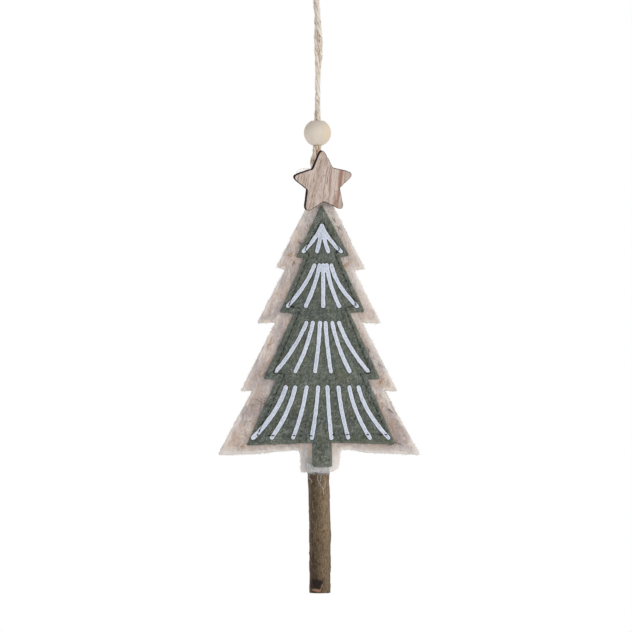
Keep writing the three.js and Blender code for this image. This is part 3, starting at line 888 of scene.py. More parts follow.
@dataclass(frozen=True)
class TwineFinish:
    """Two-ply jute: fibres that follow each ply, brown streaks, painted shade in its grooves, and under the
    bead a reddish tone that is partly its own tint and partly painted shade.
    """

    base: Colour = (240, 228, 211)
    light: Colour = (255, 250, 242)
    brown: Colour = (182, 148, 114)
    reddish_tint_and_shade: Colour = (216, 172, 136)
    groove_shade: Colour = (172, 150, 128)
    dash: Colour = (136, 106, 80)
    reddish_shade_level: float = -82.0
    reddish_shade_reach: float = 5.5

    def material(self) -> Material:
        """Builds the material.

        Returns:
            The material.
        """
        paint = Paint.material("jute twine")
        ply = paint.kept("ply", "Vector")
        fine = paint.grain(ply, (0.2, 0.2, 2.2), 3, 0.65)
        broad = paint.grain(ply, (0.5, 0.5, 4.5), 2, 0.5, 0, (5, 5, 5))
        short = paint.grain(ply, (0.4, 0.4, 1.5), 2, 0.5, 0, (9, 2, 7))
        paint.colour = paint.mix(fine.above(0.42, 0.62), self.base, self.light)
        paint.lay(self.brown, broad.above(0.57, 0.64) * 0.75)
        paint.lay(self.dash, short.below(0.34, 0.4))
        # Painted shade in the fine grooves between fibres, then in the groove between the plies.
        paint.lay(self.groove_shade, fine.below(0.3, 0.44) * 0.7)
        paint.lay(self.groove_shade, paint.kept("lobe").below(0.05, 0.6) * 0.4)
        # Under the bead a reddish tone, partly the twine's own tint and partly painted shade between the
        # strands.
        x, _, z = paint.parts(paint.in_mm(paint.place()))
        reddish_mask = x.above(-2.2, 0.6) * (z - self.reddish_shade_level).near(0.0, self.reddish_shade_reach)
        paint.lay(self.reddish_tint_and_shade, reddish_mask * 0.8)
        return paint.surface(Roughness=0.85, Normal=paint.bump(fine, 0.16, 0.8), Specular_IOR_Level=0.2)


@dataclass(frozen=True)
class BeadFinish:
    """Bare turned wood: cream, with faint upright grain; painted light makes its right side warmer and its
    underside lighter, and painted shade darkens its upper left.
    """

    centre: Triple
    pale: Colour = (225, 213, 196)
    painted_lit_side: Colour = (231, 211, 184)
    painted_upper_shade: Colour = (194, 183, 168)
    grain: Colour = (210, 195, 176)
    painted_lower_light: Colour = (248, 236, 220)
    lean: float = 0.15

    def material(self) -> Material:
        """Builds the material.

        Returns:
            The material.
        """
        paint = Paint.material("turned bead wood")
        place = paint.in_mm(paint.place(), self.centre, self.lean)
        x, _, z = paint.parts(place)
        broad = paint.drawn(place, (0.5, 0.5, 0.12), 2, 0.5)
        pores = paint.drawn(place, (2.6, 2.6, 0.6), 3, 0.6)
        # Painted light: the right side warmer, painted shade on the upper left, and the underside lighter.
        paint.colour = paint.mix(x.above(0.5, 6.0), self.pale, self.painted_lit_side)
        paint.lay(self.painted_upper_shade, (z - x * 0.7).above(-0.5, 6.5) * 0.8)
        paint.lay(self.painted_lower_light, (0 - z).above(1.0, 5.5) * 0.6)
        paint.lay(self.grain, broad.above(0.5, 0.7) * 0.25)
        paint.lay(self.grain, pores.above(0.55, 0.75) * 0.2)
        normal = paint.bump(pores, 0.05, 0.3)
        return paint.surface(Roughness=pores * 0.2 + 0.5, Normal=normal, Specular_IOR_Level=0.25)


@dataclass(frozen=True)
class BoardFinish:
    """Thin board cut by laser: greyed upright grain, a few red-brown veins and a charred wall."""

    pale: Colour = (210, 194, 183)
    grain: Colour = (189, 169, 155)
    line: Colour = (138, 112, 98)
    vein: Colour = (158, 119, 101)
    scorch: Colour = (140, 105, 86)
    char: Colour = (36, 25, 24)
    vein_at: float = 7.9
    """Where the broad vein runs, right of the board's middle."""
    grey_at: float = 10.6
    narrow_at: float = 9.8
    lean: float = math.radians(10)

    def material(self) -> Material:
        """Builds the material.

        Returns:
            The material.
        """
        paint = Paint.material("laser cut board")
        board = paint.in_mm(paint.kept("board", "Vector"), turn=self.lean)
        wavy = paint.drawn(board, (0.25, 0.2, 0.11), 1, 0.5, 1)
        bent = paint.vector("ADD", board, paint.vector("MULTIPLY", wavy, (1.4, 0, 0)))
        across, _, _ = paint.parts(bent)
        tone = paint.drawn(bent, (0.62, 0.1, 0.055), 3, 0.6)
        lines = paint.drawn(bent, (2.0, 0.1, 0.15), 3, 0.7)
        dashes = paint.drawn(bent, (2.3, 0.1, 0.42), 2, 0.5)
        vein = paint.drawn(bent, (0.9, 0.1, 0.06), 2, 0.4)
        burn = paint.drawn(board, (0.8, 0.1, 0.8), 3, 0.6)
        paint.colour = paint.mix(tone.above(0.38, 0.62), self.grain, self.pale)
        paint.lay(self.line, lines.below(0.32, 0.47) * 0.85)
        paint.lay(self.pale, lines.above(0.55, 0.68) * 0.7)
        paint.lay(self.line, dashes.below(0.3, 0.42) * 0.8)
        paint.lay(self.vein, vein.above(0.61, 0.68) * 0.6)
        paint.lay(self.vein, across.near(self.vein_at, 1.2) * lines.above(0.32, 0.46))
        paint.lay(self.grain, across.near(self.grey_at, 2.0) * 0.45)
        paint.lay(self.vein, across.near(self.narrow_at, 0.5) * 0.4)
        depth = paint.kept("depth")
        paint.lay(self.scorch, (depth + burn * 0.5).below(0.25, 0.6) * 0.7)
        paint.lay(self.char, (depth + burn * 0.1).below(0.14, 0.3))
        return paint.surface(Roughness=0.9, Normal=paint.bump(lines, 0.07, 0.5), Specular_IOR_Level=0.1)


@dataclass(frozen=True)
class BarkFinish:
    """Thin bark: painted shade left of its middle and painted light on its right, darker towards the foot,
    with lengthwise streaks, mottled skin and small reddish scars, torn off over the sawn foot's edge."""

    centre: Triple
    mid: Colour = (110, 92, 68)
    shade: Colour = (74, 60, 46)
    sunny: Colour = (145, 124, 98)
    side: Colour = (116, 99, 84)
    furrow: Colour = (50, 38, 30)
    skin: Colour = (150, 137, 120)
    olive: Colour = (126, 110, 70)
    plum: Colour = (92, 80, 82)
    scar: Colour = (92, 56, 50)
    soot: Colour = (42, 34, 36)
    torn: Colour = (184, 140, 120)
    sapwood: Colour = (206, 182, 142)
    ring: Colour = (168, 136, 96)
    scars: tuple[Triple, ...] = (
        (4.1, 49.5, 0.4), (4.0, 45.6, 0.4), (2.3, 40.9, 0.75), (2.7, 26.7, 0.7), (0.1, 23.0, 0.85),
        (-0.4, 18.3, 0.6), (2.6, 9.4, 0.5),
    )
    """X, height and reach of each reddish scar."""
    rings_per_mm: float = 2.4
    wood_radius: float = 4.0

    def material(self) -> Material:
        """Builds the material.

        Returns:
            The material.
        """
        paint = Paint.material("twig bark")
        place = paint.in_mm(paint.place(), self.centre)
        x, y, z = paint.parts(place)
        front = (0 - y).above(-0.5, 1.5)
        across = x + (paint.drawn(place, (0.3, 0.3, 0.08), 3, 0.6) - 0.5) * 5.0
        # Painted shade left of the middle, and painted light on the right.
        paint.colour = paint.mix(across.near(-1.9, 2.2) * 0.85, self.mid, self.shade)
        paint.lay(self.sunny, across.above(0.6, 3.6))
        paint.lay(self.side, (0 - x).above(2.7, 3.9) * 0.9)
        layers = (
            ((1.7, 1.7, 0.22), 0.46, 0.54, self.furrow, self.skin, 0.65),
            ((1.2, 1.2, 0.6), 0.42, 0.58, self.plum, self.olive, 0.6),
            ((2.7, 2.7, 0.7), 0.47, 0.56, self.furrow, self.skin, 0.72),
            ((3.1, 3.1, 1.0), 0.48, 0.56, self.furrow, self.skin, 0.85),
        )
        soft = 0.14
        height: Any = 0.0
        for rate, low, high, dark, light, share in layers:
            grain = paint.drawn(place, rate, 4, 0.7)
            paint.lay(dark, grain.below(low - soft, low) * share)
            paint.lay(light, grain.above(high, high + soft) * share)
            height = grain + height
        for at, level, reach in self.scars:
            paint.lay(self.scar, (x - at).near(0.0, reach) * (z - level).near(0.0, reach * 1.1) * front)
        ragged = (paint.drawn(place, (0.8, 0.8, 0.5), 3, 0.6) - 0.5) * 4.0
        soot = (x + ragged * 1.2).near(-0.4, 5.2) * (z + ragged * 1.3).near(4.0, 4.4) * front
        paint.lay(self.soot, soot.above(0.1, 0.75) * 0.9)
        flap = (z + ragged * 0.35 - (x - 1.9).near(0.0, 0.9) * 2.2).near(1.3, 0.95)
        paint.lay(self.torn, (flap * x.near(0.1, 4.6) * front).above(0.2, 0.6) * 0.9)
        paint.deepen(self.mid, z.below(0.0, 34.0) * 0.3)
        reach = paint.node(
            "VectorMath", {"operation": "LENGTH"}, {0: paint.kept("cut", "Vector")}, "Value") / MM
        rings = paint.noise(paint.joined(reach * self.rings_per_mm, 0.0, 0.0), 1, 0.4)
        face = paint.mix(rings.above(0.4, 0.62), self.sapwood, self.ring)
        face = paint.mix(reach.above(self.wood_radius, self.wood_radius + 0.25), face, self.furrow)
        paint.lay(face, paint.kept("sawn"))
        return paint.surface(Roughness=0.9, Normal=paint.bump(height, 0.2, 0.7), Specular_IOR_Level=0.15)


@dataclass(frozen=True)
class GlueFinish:
    """Hot-melt glue: milky, smooth and faintly cloudy."""

    base: Colour = (228, 224, 212)
    cloud: Colour = (240, 238, 230)

    def material(self) -> Material:
        """Builds the material.

        Returns:
            The material.
        """
        paint = Paint.material("hot melt glue")
        drift = paint.grain(paint.place(), (1.6, 1.6, 1.6), 3, 0.5)
        paint.colour = paint.mix(drift.above(0.4, 0.62), self.base, self.cloud)
        return paint.surface(Roughness=drift * 0.2 + 0.22, Normal=paint.bump(drift, 0.2))


@dataclass(frozen=True)
class Tier:
    """One tier of a tree's outline: shares of the half width and of the height, left and right."""

    tip: Pair
    tip_drop: Pair
    notch: Pair | None
    notch_drop: float


@dataclass(frozen=True)
class TreeCut:
    """A tree cut out of felt, with its foot."""

    axis: float
    apex: float
    width: float
    height: float
    tiers: tuple[Tier, ...]
    foot: tuple[Pair, ...]
    """The bottom's corners from the left tip to the right one, in millimetres."""

    def corners(self, with_foot: bool = True) -> Array:
        """Corners of the outline, anticlockwise from the apex.

        Args:
            with_foot: Whether the foot's corners are taken in.

        Returns:
            The corners, (n, 2).
        """
        sides = []
        for k, sign in enumerate((-1, 1)):
            run = []
            for tier in self.tiers:
                run.append((self.axis + sign * tier.tip[k] * self.width / 2,
                            self.apex - tier.tip_drop[k] * self.height))
                if tier.notch:
                    run.append((self.axis + sign * tier.notch[k] * self.width / 2,
                                self.apex - tier.notch_drop * self.height))
            sides.append(run)
        foot = list(self.foot) if with_foot else []
        return np.array([(self.axis, self.apex), *sides[0], *foot, *sides[1][::-1]])


NATURAL_CUT = TreeCut(
    axis=0.55, apex=-89.4, width=85.8, height=121.3,
    tiers=(
        Tier((0.124, 0.149), (0.128, 0.128), None, 0),
        Tier((0.419, 0.454), (0.337, 0.342), (0.332, 0.344), 0.346),
        Tier((0.614, 0.614), (0.535, 0.535), (0.426, 0.426), 0.532),
        Tier((0.779, 0.784), (0.777, 0.777), (0.659, 0.65), 0.773),
        Tier((1.005, 1.005), (1.003, 1.001), None, 0.984),
    ),
    foot=((-26.9, -210.5), (-10.5, -208.9), (-8.0, -209.3), (-7.2, -211.2), (-7.0, -218.4),
          (7.0, -218.1), (7.4, -217.3), (8.6, -217.0), (8.9, -214.9), (9.35, -211.1), (9.9, -208.7),
          (14.0, -208.6), (20.4, -209.9)),
)
GREEN_CUT = TreeCut(
    axis=1.85, apex=-104.0, width=63.4, height=102.6,
    tiers=(
        Tier((0.344, 0.363), (0.215, 0.208), (0.228, 0.229), 0.214),
        Tier((0.567, 0.572), (0.446, 0.443), (0.369, 0.373), 0.448),
        Tier((0.782, 0.78), (0.724, 0.724), (0.607, 0.613), 0.727),
        Tier((1.014, 0.986), (1.002, 0.997), None, 0.992),
    ),
    foot=((-2.1, -205.7), (-2.2, -215.4), (-1.4, -216.0), (6.1, -215.9), (5.9, -205.7)),
)


@dataclass(frozen=True)
class Seam:
    """The machine seam that holds the green tree on, inside its edge and open at the trunk."""

    corners: tuple[Pair, ...] = (
        (-2.2, -202.7), (-25.9, -202.7), (-13.9, -176.2), (-18.9, -175.8), (-7.2, -148.2),
        (-12.4, -147.0), (-3.6, -124.9), (-5.4, -122.8), (1.85, -109.9), (9.5, -122.7),
        (7.4, -124.6), (16.6, -146.7), (11.8, -148.0), (22.9, -175.7), (18.4, -176.2),
        (30.0, -202.3), (6.3, -202.3),
    )
    pitch: float = 2.8
    shown_share: float = 0.6
    thread_radius: float = 0.18
    groove_width: float = 0.45
    easing: float = 0.5
    rows: Shares = (-0.7, -0.33, 0, 0.33, 0.7)
    slack: float = 0.75
    """How much less the seam pulls along its bottom, below the next level."""
    slack_level: float = -201.5

    def line(self, step: float) -> Array:
        """The seam's line at even steps, with its corners eased by a raised cosine."""
        half = max(1, round(self.easing / step))
        return blurred(even_line(np.array(self.corners), step), np.hanning(2 * half + 3)[1:-1])

    def distance(self, points: Array) -> Array:
        """Distance of points from the seam."""
        line = np.array(self.corners)
        return distance_to(points, line[:-1], line[1:])

    def near(self, points: Array) -> Array:
        """1 on the seam, less along its bottom, falling off beside it as a Gaussian."""
        pull = 1 - self.slack * (points[:, 1] < self.slack_level)
        return pull * np.exp(-((self.distance(points) / self.groove_width) ** 2))

    def beside(self) -> Array:
        """Rows of points on and beside the seam, for a mesh to be fine there."""
        line = self.line(0.45)
        return np.vstack([line + sideways(unit(np.gradient(line, axis=0))) * off for off in self.rows])


SEAM = Seam()


@dataclass(frozen=True)
class Relief:
    """The common form of all the felt: how far a layer stands out from the middle plane."""

    crown_height: float = 2.4
    crown_roll: float = 8.0
    seam_inset: float = 2.5
    sleeve_height: float = 4.9
    tab_half: float = 8.0
    tab_axis: float = 0.55
    sleeve_levels: Pair = (-196.9, -185.5)
    pocket_height: float = 1.65
    pocket_half: float = 5.5
    pocket_levels: Pair = (-112.8, -104.8)
    sway: float = 0.22

    def rise(self, points: Array, sign: int = -1) -> Array:
        """Rise of a layer: the fourth-power sum of the padding's crown, the twig's sleeve and the
        twine's pocket, with a slow sway that both sides share in opposite senses.

        Args:
            points: Places in the XZ plane, (n, 2).
            sign: The layer's side.

        Returns:
            The rise at each place.
        """
        x, z = points.T
        depth = depth_inside(points, GREEN_CUT.corners(with_foot=False))
        crown = self.crown_height * smoothstep(depth - self.seam_inset, 0, self.crown_roll)
        off = x - self.tab_axis
        sleeve = self.sleeve_height * np.maximum(0, 1 - (off / self.tab_half) ** 2)
        sleeve = sleeve * (1 - smoothstep(z, *self.sleeve_levels))
        pocket = self.pocket_height * np.maximum(0, 1 - (off / self.pocket_half) ** 2)
        pocket = pocket * smoothstep(z, *self.pocket_levels)
        total = (crown**4 + sleeve**4 + pocket**4) ** 0.25
        return total - sign * self.sway * noise(points, 17.0, 5)

    def fuzz(self, points: Array, seed: int) -> Array:
        """The felt's own uneven surface, about 0.1 mm high."""
        return 0.07 * noise(points, 1.9, seed) + 0.05 * noise(points, 0.9, seed + 1)


RELIEF = Relief()


@dataclass(frozen=True)
class Tuft:
    """A few hairs that lie together on a felt layer's face."""

    x: float
    z: float
    heading: float
    """In degrees from X."""
    length: float
    count: int
    spread: float


DARK_TUFTS = (
    Tuft(-25.6, -188.3, -40, 5, 6, 2), Tuft(-23.9, -189.6, 55, 4, 4, 1.6),
    Tuft(-28.4, -189.8, 30, 2.4, 2, 0.4), Tuft(-31.6, -201.7, -45, 5, 2, 1),
    Tuft(-28.4, -196.5, -35, 3, 2, 0.7), Tuft(-7.5, -120, -60, 3.2, 5, 0.4),
    Tuft(9, -113.7, -60, 3.8, 6, 0.7), Tuft(7.1, -110.3, -75, 3.2, 4, 0.4),
    Tuft(-10.1, -128.6, 80, 3.6, 4, 0.3), Tuft(21.9, -165.8, -60, 4.4, 4, 0.4),
    Tuft(26.9, -172.6, -65, 4, 3, 0.8), Tuft(31.6, -192.2, -50, 4.2, 6, 0.5),
    Tuft(33.8, -205.8, -12, 6.5, 5, 0.5), Tuft(-33.5, -206.4, 20, 6, 3, 1.2),
    Tuft(31.5, -206.4, 5, 5, 6, 0.5),
)
TAN_TUFTS = (
    Tuft(-32.3, -207.5, 80, 3.6, 7, 0.4), Tuft(-11.8, -125.6, 50, 3.4, 10, 1.1),
    Tuft(12, -129.4, 60, 3.2, 12, 1), Tuft(14.4, -127.5, 40, 2.6, 7, 0.8),
    Tuft(27.1, -179.7, 55, 5, 11, 0.5), Tuft(32.3, -198.2, -80, 7.5, 7, 0.6),
    Tuft(-4.1, -112.7, 80, 6, 6, 0.6), Tuft(-20.5, -163, 65, 6, 6, 0.8),
    Tuft(-24.5, -176, 60, 6, 5, 0.8), Tuft(18.5, -150, -65, 6.5, 7, 0.8),
)
PALE_TUFTS = (
    Tuft(14.6, -201, 52, 6.5, 2, 0.3), Tuft(17.5, -201.8, 65, 4, 2, 0.8),
    Tuft(0.3, -209.4, -60, 5, 2, 0.2), Tuft(3.6, -207.5, 60, 4.5, 4, 1.6),
    Tuft(1.6, -211.5, 30, 3.8, 4, 1.8), Tuft(0.5, -110.4, 20, 4.6, 12, 1.7),
    Tuft(2.6, -108.4, -60, 3.6, 5, 1), Tuft(-3, -116.5, 60, 5, 6, 1.6),
    Tuft(-12.5, -176, 35, 7, 3, 3), Tuft(8, -160, -50, 8, 3, 5),
    Tuft(-18, -200.5, 10, 6, 3, 3), Tuft(3.5, -137, 60, 7, 3, 4),
    Tuft(14, -186, 80, 8, 3, 5), Tuft(-3, -127.5, 20, 3.6, 4, 2.5),
)


@dataclass
class FeltLayer:
    """One felt layer between two levels from the middle plane, with the fibres on it."""

    name: str
    cut: TreeCut
    side: Side
    inner: float
    outer: float
    squeeze: float
    """How deep the seam pulls its outer face in."""
    seed: int
    spacing: float = 1.0
    edge_roll: float = 0.75
    edge_drop: float = 0.42
    edge_bulge: float = 0.22
    wobble: float = 0.16
    hairs: int = 3200
    hair_length: Pair = (1.0, 3.4)
    hair_bow: float = 0.35
    hair_lift: Pair = (0.02, 0.24)
    hair_radius: Pair = (0.024, 0.05)
    edge_hairs: int = 1500
    edge_reach: Pair = (0.35, 1.15)

    def __post_init__(self) -> None:
        """Cuts the layer's outline once."""
        self.loop = soft_loop(self.cut.corners(), 0.5, 0.36, self.wobble, self.seed)
        self.patch = Patch.cut([self.loop], self.spacing, (0.16, 0.42, 0.8), self.seed, SEAM.beside())

    def outer_level(self, points: Array) -> Array:
        """Y of the outer face at places (n, 2): its relief and unevenness, less the seam's pull."""
        level = self.outer + RELIEF.rise(points, self.side.value) + RELIEF.fuzz(points, self.seed)
        return self.side.value * (level - self.squeeze * SEAM.near(points))

    def sheet(self) -> Shape:
        """The closed sheet: both faces follow the relief, the outer one is round at its rim.

        Returns:
            The sheet, with each point's depth and its nearness to the seam.
        """
        points, sign = self.patch.points, self.side.value
        outer = self.outer_level(points) - sign * self.patch.rounding(self.edge_roll, self.edge_drop)
        inner = sign * (self.inner + RELIEF.rise(points, sign))
        near, far = (outer, inner) if self.side is Side.FRONT else (inner, outer)
        shape = self.patch.solid(near, far, self.edge_bulge)
        shape.values["seam"] = SEAM.near(shape.points[:, [0, 2]])
        return shape

    def face_hairs(self, rng: np.random.Generator, t: Array) -> Array:
        """Hairs on the outer face: each bows as a parabola in the face's plane and lifts as half
        a sine wave over it, with both ends in the wool.

        Args:
            rng: Source of random numbers.
            t: Shares of a hair's length.

        Returns:
            Their centre lines, (n, len(t), 3).
        """
        count, share = self.hairs, t[:, None]
        start = self.patch.scatter(count, self.seed)
        heading = rng.uniform(0, TURN, count)
        along = np.stack((np.cos(heading), np.sin(heading)), 1)[:, None]
        length = rng.uniform(*self.hair_length, (count, 1, 1))
        bow = rng.uniform(-self.hair_bow, self.hair_bow, (count, 1, 1)) * length
        flat = start[:, None] + along * length * (share - 0.5)
        flat = flat + sideways(along) * bow * (4 * share * (1 - share) - 0.5)
        keep = depth_inside(flat.reshape(-1, 2), self.loop).reshape(count, -1).min(1) > 0.35
        flat, lift = flat[keep], rng.uniform(*self.hair_lift, count)[keep]
        level = self.outer_level(flat.reshape(-1, 2)).reshape(flat.shape[:2])
        return placed(flat, level + self.side.value * (lift[:, None] * np.sin(t * math.pi) * 1.3 - 0.05))

    def rim_hairs(self, rng: np.random.Generator, t: Array) -> Array:
        """Hairs that run outwards from the rim and turn aside by a power of their share.

        Args:
            rng: Source of random numbers.
            t: Shares of a hair's length.

        Returns:
            Their centre lines, (n, len(t), 3).
        """
        count, share, sign = self.edge_hairs, t[:, None], self.side.value
        pick = rng.integers(0, len(self.loop), count)
        slant = rng.normal(0, 0.7, (count, 1, 1))
        outward = loop_normals(self.loop)[pick][:, None]
        reach = rng.uniform(*self.edge_reach, (count, 1, 1)) ** 1.5
        flat = self.loop[pick][:, None] + outward * (reach * share - 0.3)
        flat = flat + sideways(outward) * slant * reach * share**1.6
        middle = (self.inner + self.outer) / 2 + RELIEF.rise(self.loop[pick], sign)
        spread = rng.uniform(-0.42, 0.3, count) * (self.outer - self.inner)
        drift = rng.normal(0, 0.35, count)
        return placed(flat, sign * (middle + spread)[:, None] + drift[:, None] * t**2 * reach[:, :, 0])

    def strands(self) -> Shape:
        """Thin fibres on the outer face and along the rim, which taper to both ends.

        Returns:
            The fibres.
        """
        rng = np.random.default_rng(self.seed + 50)
        t = np.linspace(0, 1, 5)
        paths = np.vstack((self.face_hairs(rng, t), self.rim_hairs(rng, t)))
        thick = rng.uniform(*self.hair_radius, (len(paths), 1, 1))
        taper = np.array([0.7, 1, 1, 0.85, 0.45])[None, :, None]
        lean = unit(rng.normal(0, 0.25, (len(paths), 1, 3)) + (0, 1, 0))
        return tubes(paths, thick * taper, 3, lean)

    def tufted(self, tufts: Sequence[Tuft], radius: float, seed: int) -> Shape:
        """Hairs of tufts: each starts beside its tuft's place and bends by a running sum of random
        turns, on the outer face and a little proud of it.

        Args:
            tufts: Where the hairs lie.
            radius: A hair's radius at its middle.
            seed: Picks the turns.

        Returns:
            The hairs.
        """
        rng = np.random.default_rng(seed)
        count, steps = sum(tuft.count for tuft in tufts), 14
        rows = np.array([(t.x, t.z, t.heading, t.length, t.spread) for t in tufts for _ in range(t.count)])
        middle, length, spread = rows[:, None, :2], rows[:, 3:4], rows[:, 4:5]
        turn = np.radians(rows[:, 2:3] + rng.normal(0, 15, (count, 1)))
        turn = turn + np.cumsum(rng.normal(0, 0.11, (count, steps)), axis=1)
        pace = length * rng.uniform(0.6, 1.15, (count, 1)) / steps
        flat = np.cumsum(np.stack((np.cos(turn), np.sin(turn)), -1) * pace[..., None], axis=1)
        flat += middle - flat.mean(1, keepdims=True) + rng.normal(0, 0.6, (count, 1, 2)) * spread[..., None]
        level = self.outer_level(flat.reshape(-1, 2)).reshape(count, steps)
        share = np.linspace(0, 1, steps)
        level = level + self.side.value * (0.16 * np.sin(share * math.pi) ** 0.5 - 0.06)
        thick = radius * rng.uniform(0.7, 1.2, (count, 1, 1)) * np.sin(0.4 + share * 2.3)[None, :, None]
        return tubes(placed(flat, level), thick, 4, np.array([0.1, 1, 0.05]))


@dataclass
class FeltTree:
    """The three felt layers, their sewing threads and the wadding between them."""

    natural: FeltFinish = FeltFinish(
        "natural felt", base=(199, 185, 175), patch=(189, 177, 171), tint=(205, 178, 156),
        mist=(172, 163, 164), light=(230, 222, 215), dark=(158, 144, 140), fleck=(112, 88, 80),
        rim=(240, 232, 220), streaks=0.6, clumps=0.28, haired=0.34,
        zones=(
            Zone(33, -203, 14, 16, Tone.TINT, 0.3), Zone(33, -203, 14, 16, Tone.DARK, 0.72),
            Zone(26.5, -169.5, 9, 13, Tone.LIGHT, 0.55), Zone(18, -210, 16, 6, Tone.DARK, 0.35),
            # These two zones are painted shade on the felt beside the green tree's left edge.
            Zone(-28, -190, 9, 12, Tone.DARK, 0.75), Zone(-24, -178, 8, 10, Tone.DARK, 0.45),
            Zone(-34, -206, 14, 10, Tone.TINT, 0.55), Zone(17, -144, 16, 24, Tone.LIGHT, 0.9),
            # Zone(1.8, -110) is painted light: it lightens the felt round the green tip, where the star
            # casts its shadow.
            Zone(20, -150, 14, 16, Tone.TINT, 0.35), Zone(1.8, -110, 14, 12, Tone.LIGHT, 0.85),
        ),
    )
    green: FeltFinish = FeltFinish(
        "green felt", base=(90, 96, 87), patch=(81, 88, 81), tint=(104, 106, 82),
        mist=(84, 92, 91), light=(140, 145, 137), dark=(51, 57, 50), fleck=(40, 45, 40),
        rim=(112, 118, 104), broad=0.45, streaks=0.35, clouds=0.4, clumps=0.62, haired=0.8,
        rim_share=0.3, rim_reach=0.8, fan_axis=1.85, frosted=0.0,
        zones=(Zone(0, -200, 60, 24, Tone.DARK, 0.3), Zone(8, -112, 9, 14, Tone.TINT, 0.35)),
    )
    front: FeltLayer = field(default_factory=lambda: FeltLayer(
        "front_felt_sheet", NATURAL_CUT, Side.FRONT, 0.06, 2.2, 0.2, 11))
    back: FeltLayer = field(default_factory=lambda: FeltLayer(
        "back_felt_sheet", NATURAL_CUT, Side.BACK, 0.06, 2.2, 0.45, 23))
    cover: FeltLayer = field(default_factory=lambda: FeltLayer(
        "green_felt_sheet", GREEN_CUT, Side.FRONT, 2.25, 3.75, 0.27, 37,
        edge_roll=0.5, edge_drop=0.3, hairs=2600, edge_hairs=600, wobble=0.1))

    def build(self) -> None:
        """Makes each layer as a closed sheet and adds fibres, stitches and wadding."""
        natural, green = self.natural.material(), self.green.material()
        pale = FibreFinish("natural felt fibres", (222, 212, 202), (196, 178, 162)).material()
        deep = FibreFinish("green felt fibres", (124, 131, 120), (78, 86, 78)).material()
        whitish = FibreFinish("pale hairs", (205, 207, 200), (172, 175, 164)).material()
        brown = FibreFinish("dark felt hairs", (124, 106, 98), (146, 124, 112)).material()
        tan = FibreFinish("tan felt hairs", (206, 170, 138), (214, 188, 160)).material()
        thread = FibreFinish("dark green sewing thread", (30, 33, 29), (44, 48, 42), 1.0, 0.6).material()
        rows = (
            (self.front, natural, pale, Slot.NATURAL_FELT, "front_felt", ["back_felt_sheet"]),
            (self.back, natural, pale, Slot.NATURAL_FELT, "back_felt", ["front_felt_sheet"]),
            (self.cover, green, deep, Slot.GREEN_FELT, "green_felt", ["front_felt_sheet"]),
        )
        for layer, finish, hair, slot, node, under in rows:
            sheet = layer.sheet().outward().piece(layer.name, finish, slot, replaces=[node])
            laid_on = [layer.strands().piece(f"{node}_fibres", hair, slot)]
            if layer is self.cover:
                laid_on.append(layer.tufted(PALE_TUFTS, 0.047, 5).piece(
                    "green_felt_pale_hairs", whitish, slot))
            else:
                laid_on += [
                    layer.tufted(DARK_TUFTS, 0.05, 6).piece(f"{node}_dark_hairs", brown, slot),
                    layer.tufted(TAN_TUFTS, 0.06, 7).piece(f"{node}_tan_hairs", tan, slot),
                ]
        self.stitches(self.cover, 1.0).piece("seam_needle_thread", thread, Slot.GREEN_FELT)
        self.stitches(self.back, 0.9).piece("seam_bobbin_thread", thread, Slot.GREEN_FELT)
        self.wadding()

    @staticmethod
    def stitches(layer: FeltLayer, tightness: float) -> Shape:
        """Sewing thread: each stitch arches as half a sine wave over the groove, and both its
        ends dive into their needle holes. A stitch near a printed stroke lies across its middle.

        Args:
            layer: The felt that it shows on.
            tightness: How high it arches.

        Returns:
            The stitches.
        """
        line = SEAM.line(0.1)
        run = run_of(line)
        count, steps = round(run[-1] / SEAM.pitch), 9
        centre = (np.arange(count) + 0.5) / count * run[-1]
        ends = np.flatnonzero(np.diff(np.r_[0, PRINT.height(line) > 0, 0]))
        crossing = run[(ends[::2] + ends[1::2] - 1) // 2]
        nearest = crossing[np.abs(centre[:, None] - crossing).argmin(1)]
        centre = np.where(np.abs(nearest - centre) < SEAM.pitch / 2, nearest, centre)
        t = np.linspace(0, 1, steps)
        at = np.clip(centre[:, None] + (t - 0.5) * SEAM.shown_share * SEAM.pitch, 0, run[-1])
        flat = on_line(line, run, at)
        middle = layer.outer_level(flat.reshape(-1, 2)).reshape(count, steps)[:, 4:5]
        ink = PRINT.height(flat.reshape(-1, 2)).reshape(count, steps).max(1, keepdims=True)
        raised = ink if layer.side is Side.FRONT else 0 * ink
        sunk = 0.3 * (flat[:, 4:5, 1] < -202) * (raised == 0)
        arch = np.sin(t * math.pi) ** 0.6
        y = middle + layer.side.value * (arch * (0.47 * tightness + raised - sunk) - 0.36)
        thick = SEAM.thread_radius + 0.06 * (raised > 0)[..., None]
        return tubes(placed(flat, y), thick, 6, np.array([0.13, 1, 0.07]))

    @staticmethod
    def wadding() -> None:
        """The stuffing: a soft wedge with a slot for the twig, fuller in the middle and lumpy."""
        corners = [(1.85, -119.5), (-19.6, -200.4), (-5.1, -200.4), (-5.1, -195.9), (5.4, -195.9),
                   (5.4, -200.4), (23.3, -200.4)]
        loop = soft_loop(np.array(corners), 0.8, 0.9, 0.25, 71)
        patch = Patch.cut([loop], 1.4, (0.3, 0.9), 71)
        fill = np.maximum(RELIEF.rise(patch.points, 0) - 0.12, 0.1)
        lumps = 0.12 * noise(patch.points, 2.6, 72)
        half = np.maximum(fill - patch.rounding(3.5, 1.0) * fill * 0.7 - 0.15 + lumps, 0.05)
        finish = FibreFinish("white wadding", (238, 238, 234), (224, 224, 220), 3.0).material()
        made = patch.solid(-half, half, bulge=0.2).outward()
        made.piece("wadding_fill", finish, Slot.WADDING, replaces=["padding"])


@dataclass(frozen=True)
class StrokeRow:
    """A row of rays: drops of their tops and feet, places of both across, how much of each ray's
    way across is bent, and the rays that run together at the top."""

    name: str
    top_drop: float
    foot_drop: float
    tops: Shares
    feet: Shares
    bends: Shares
    together: tuple[int, ...] = ()


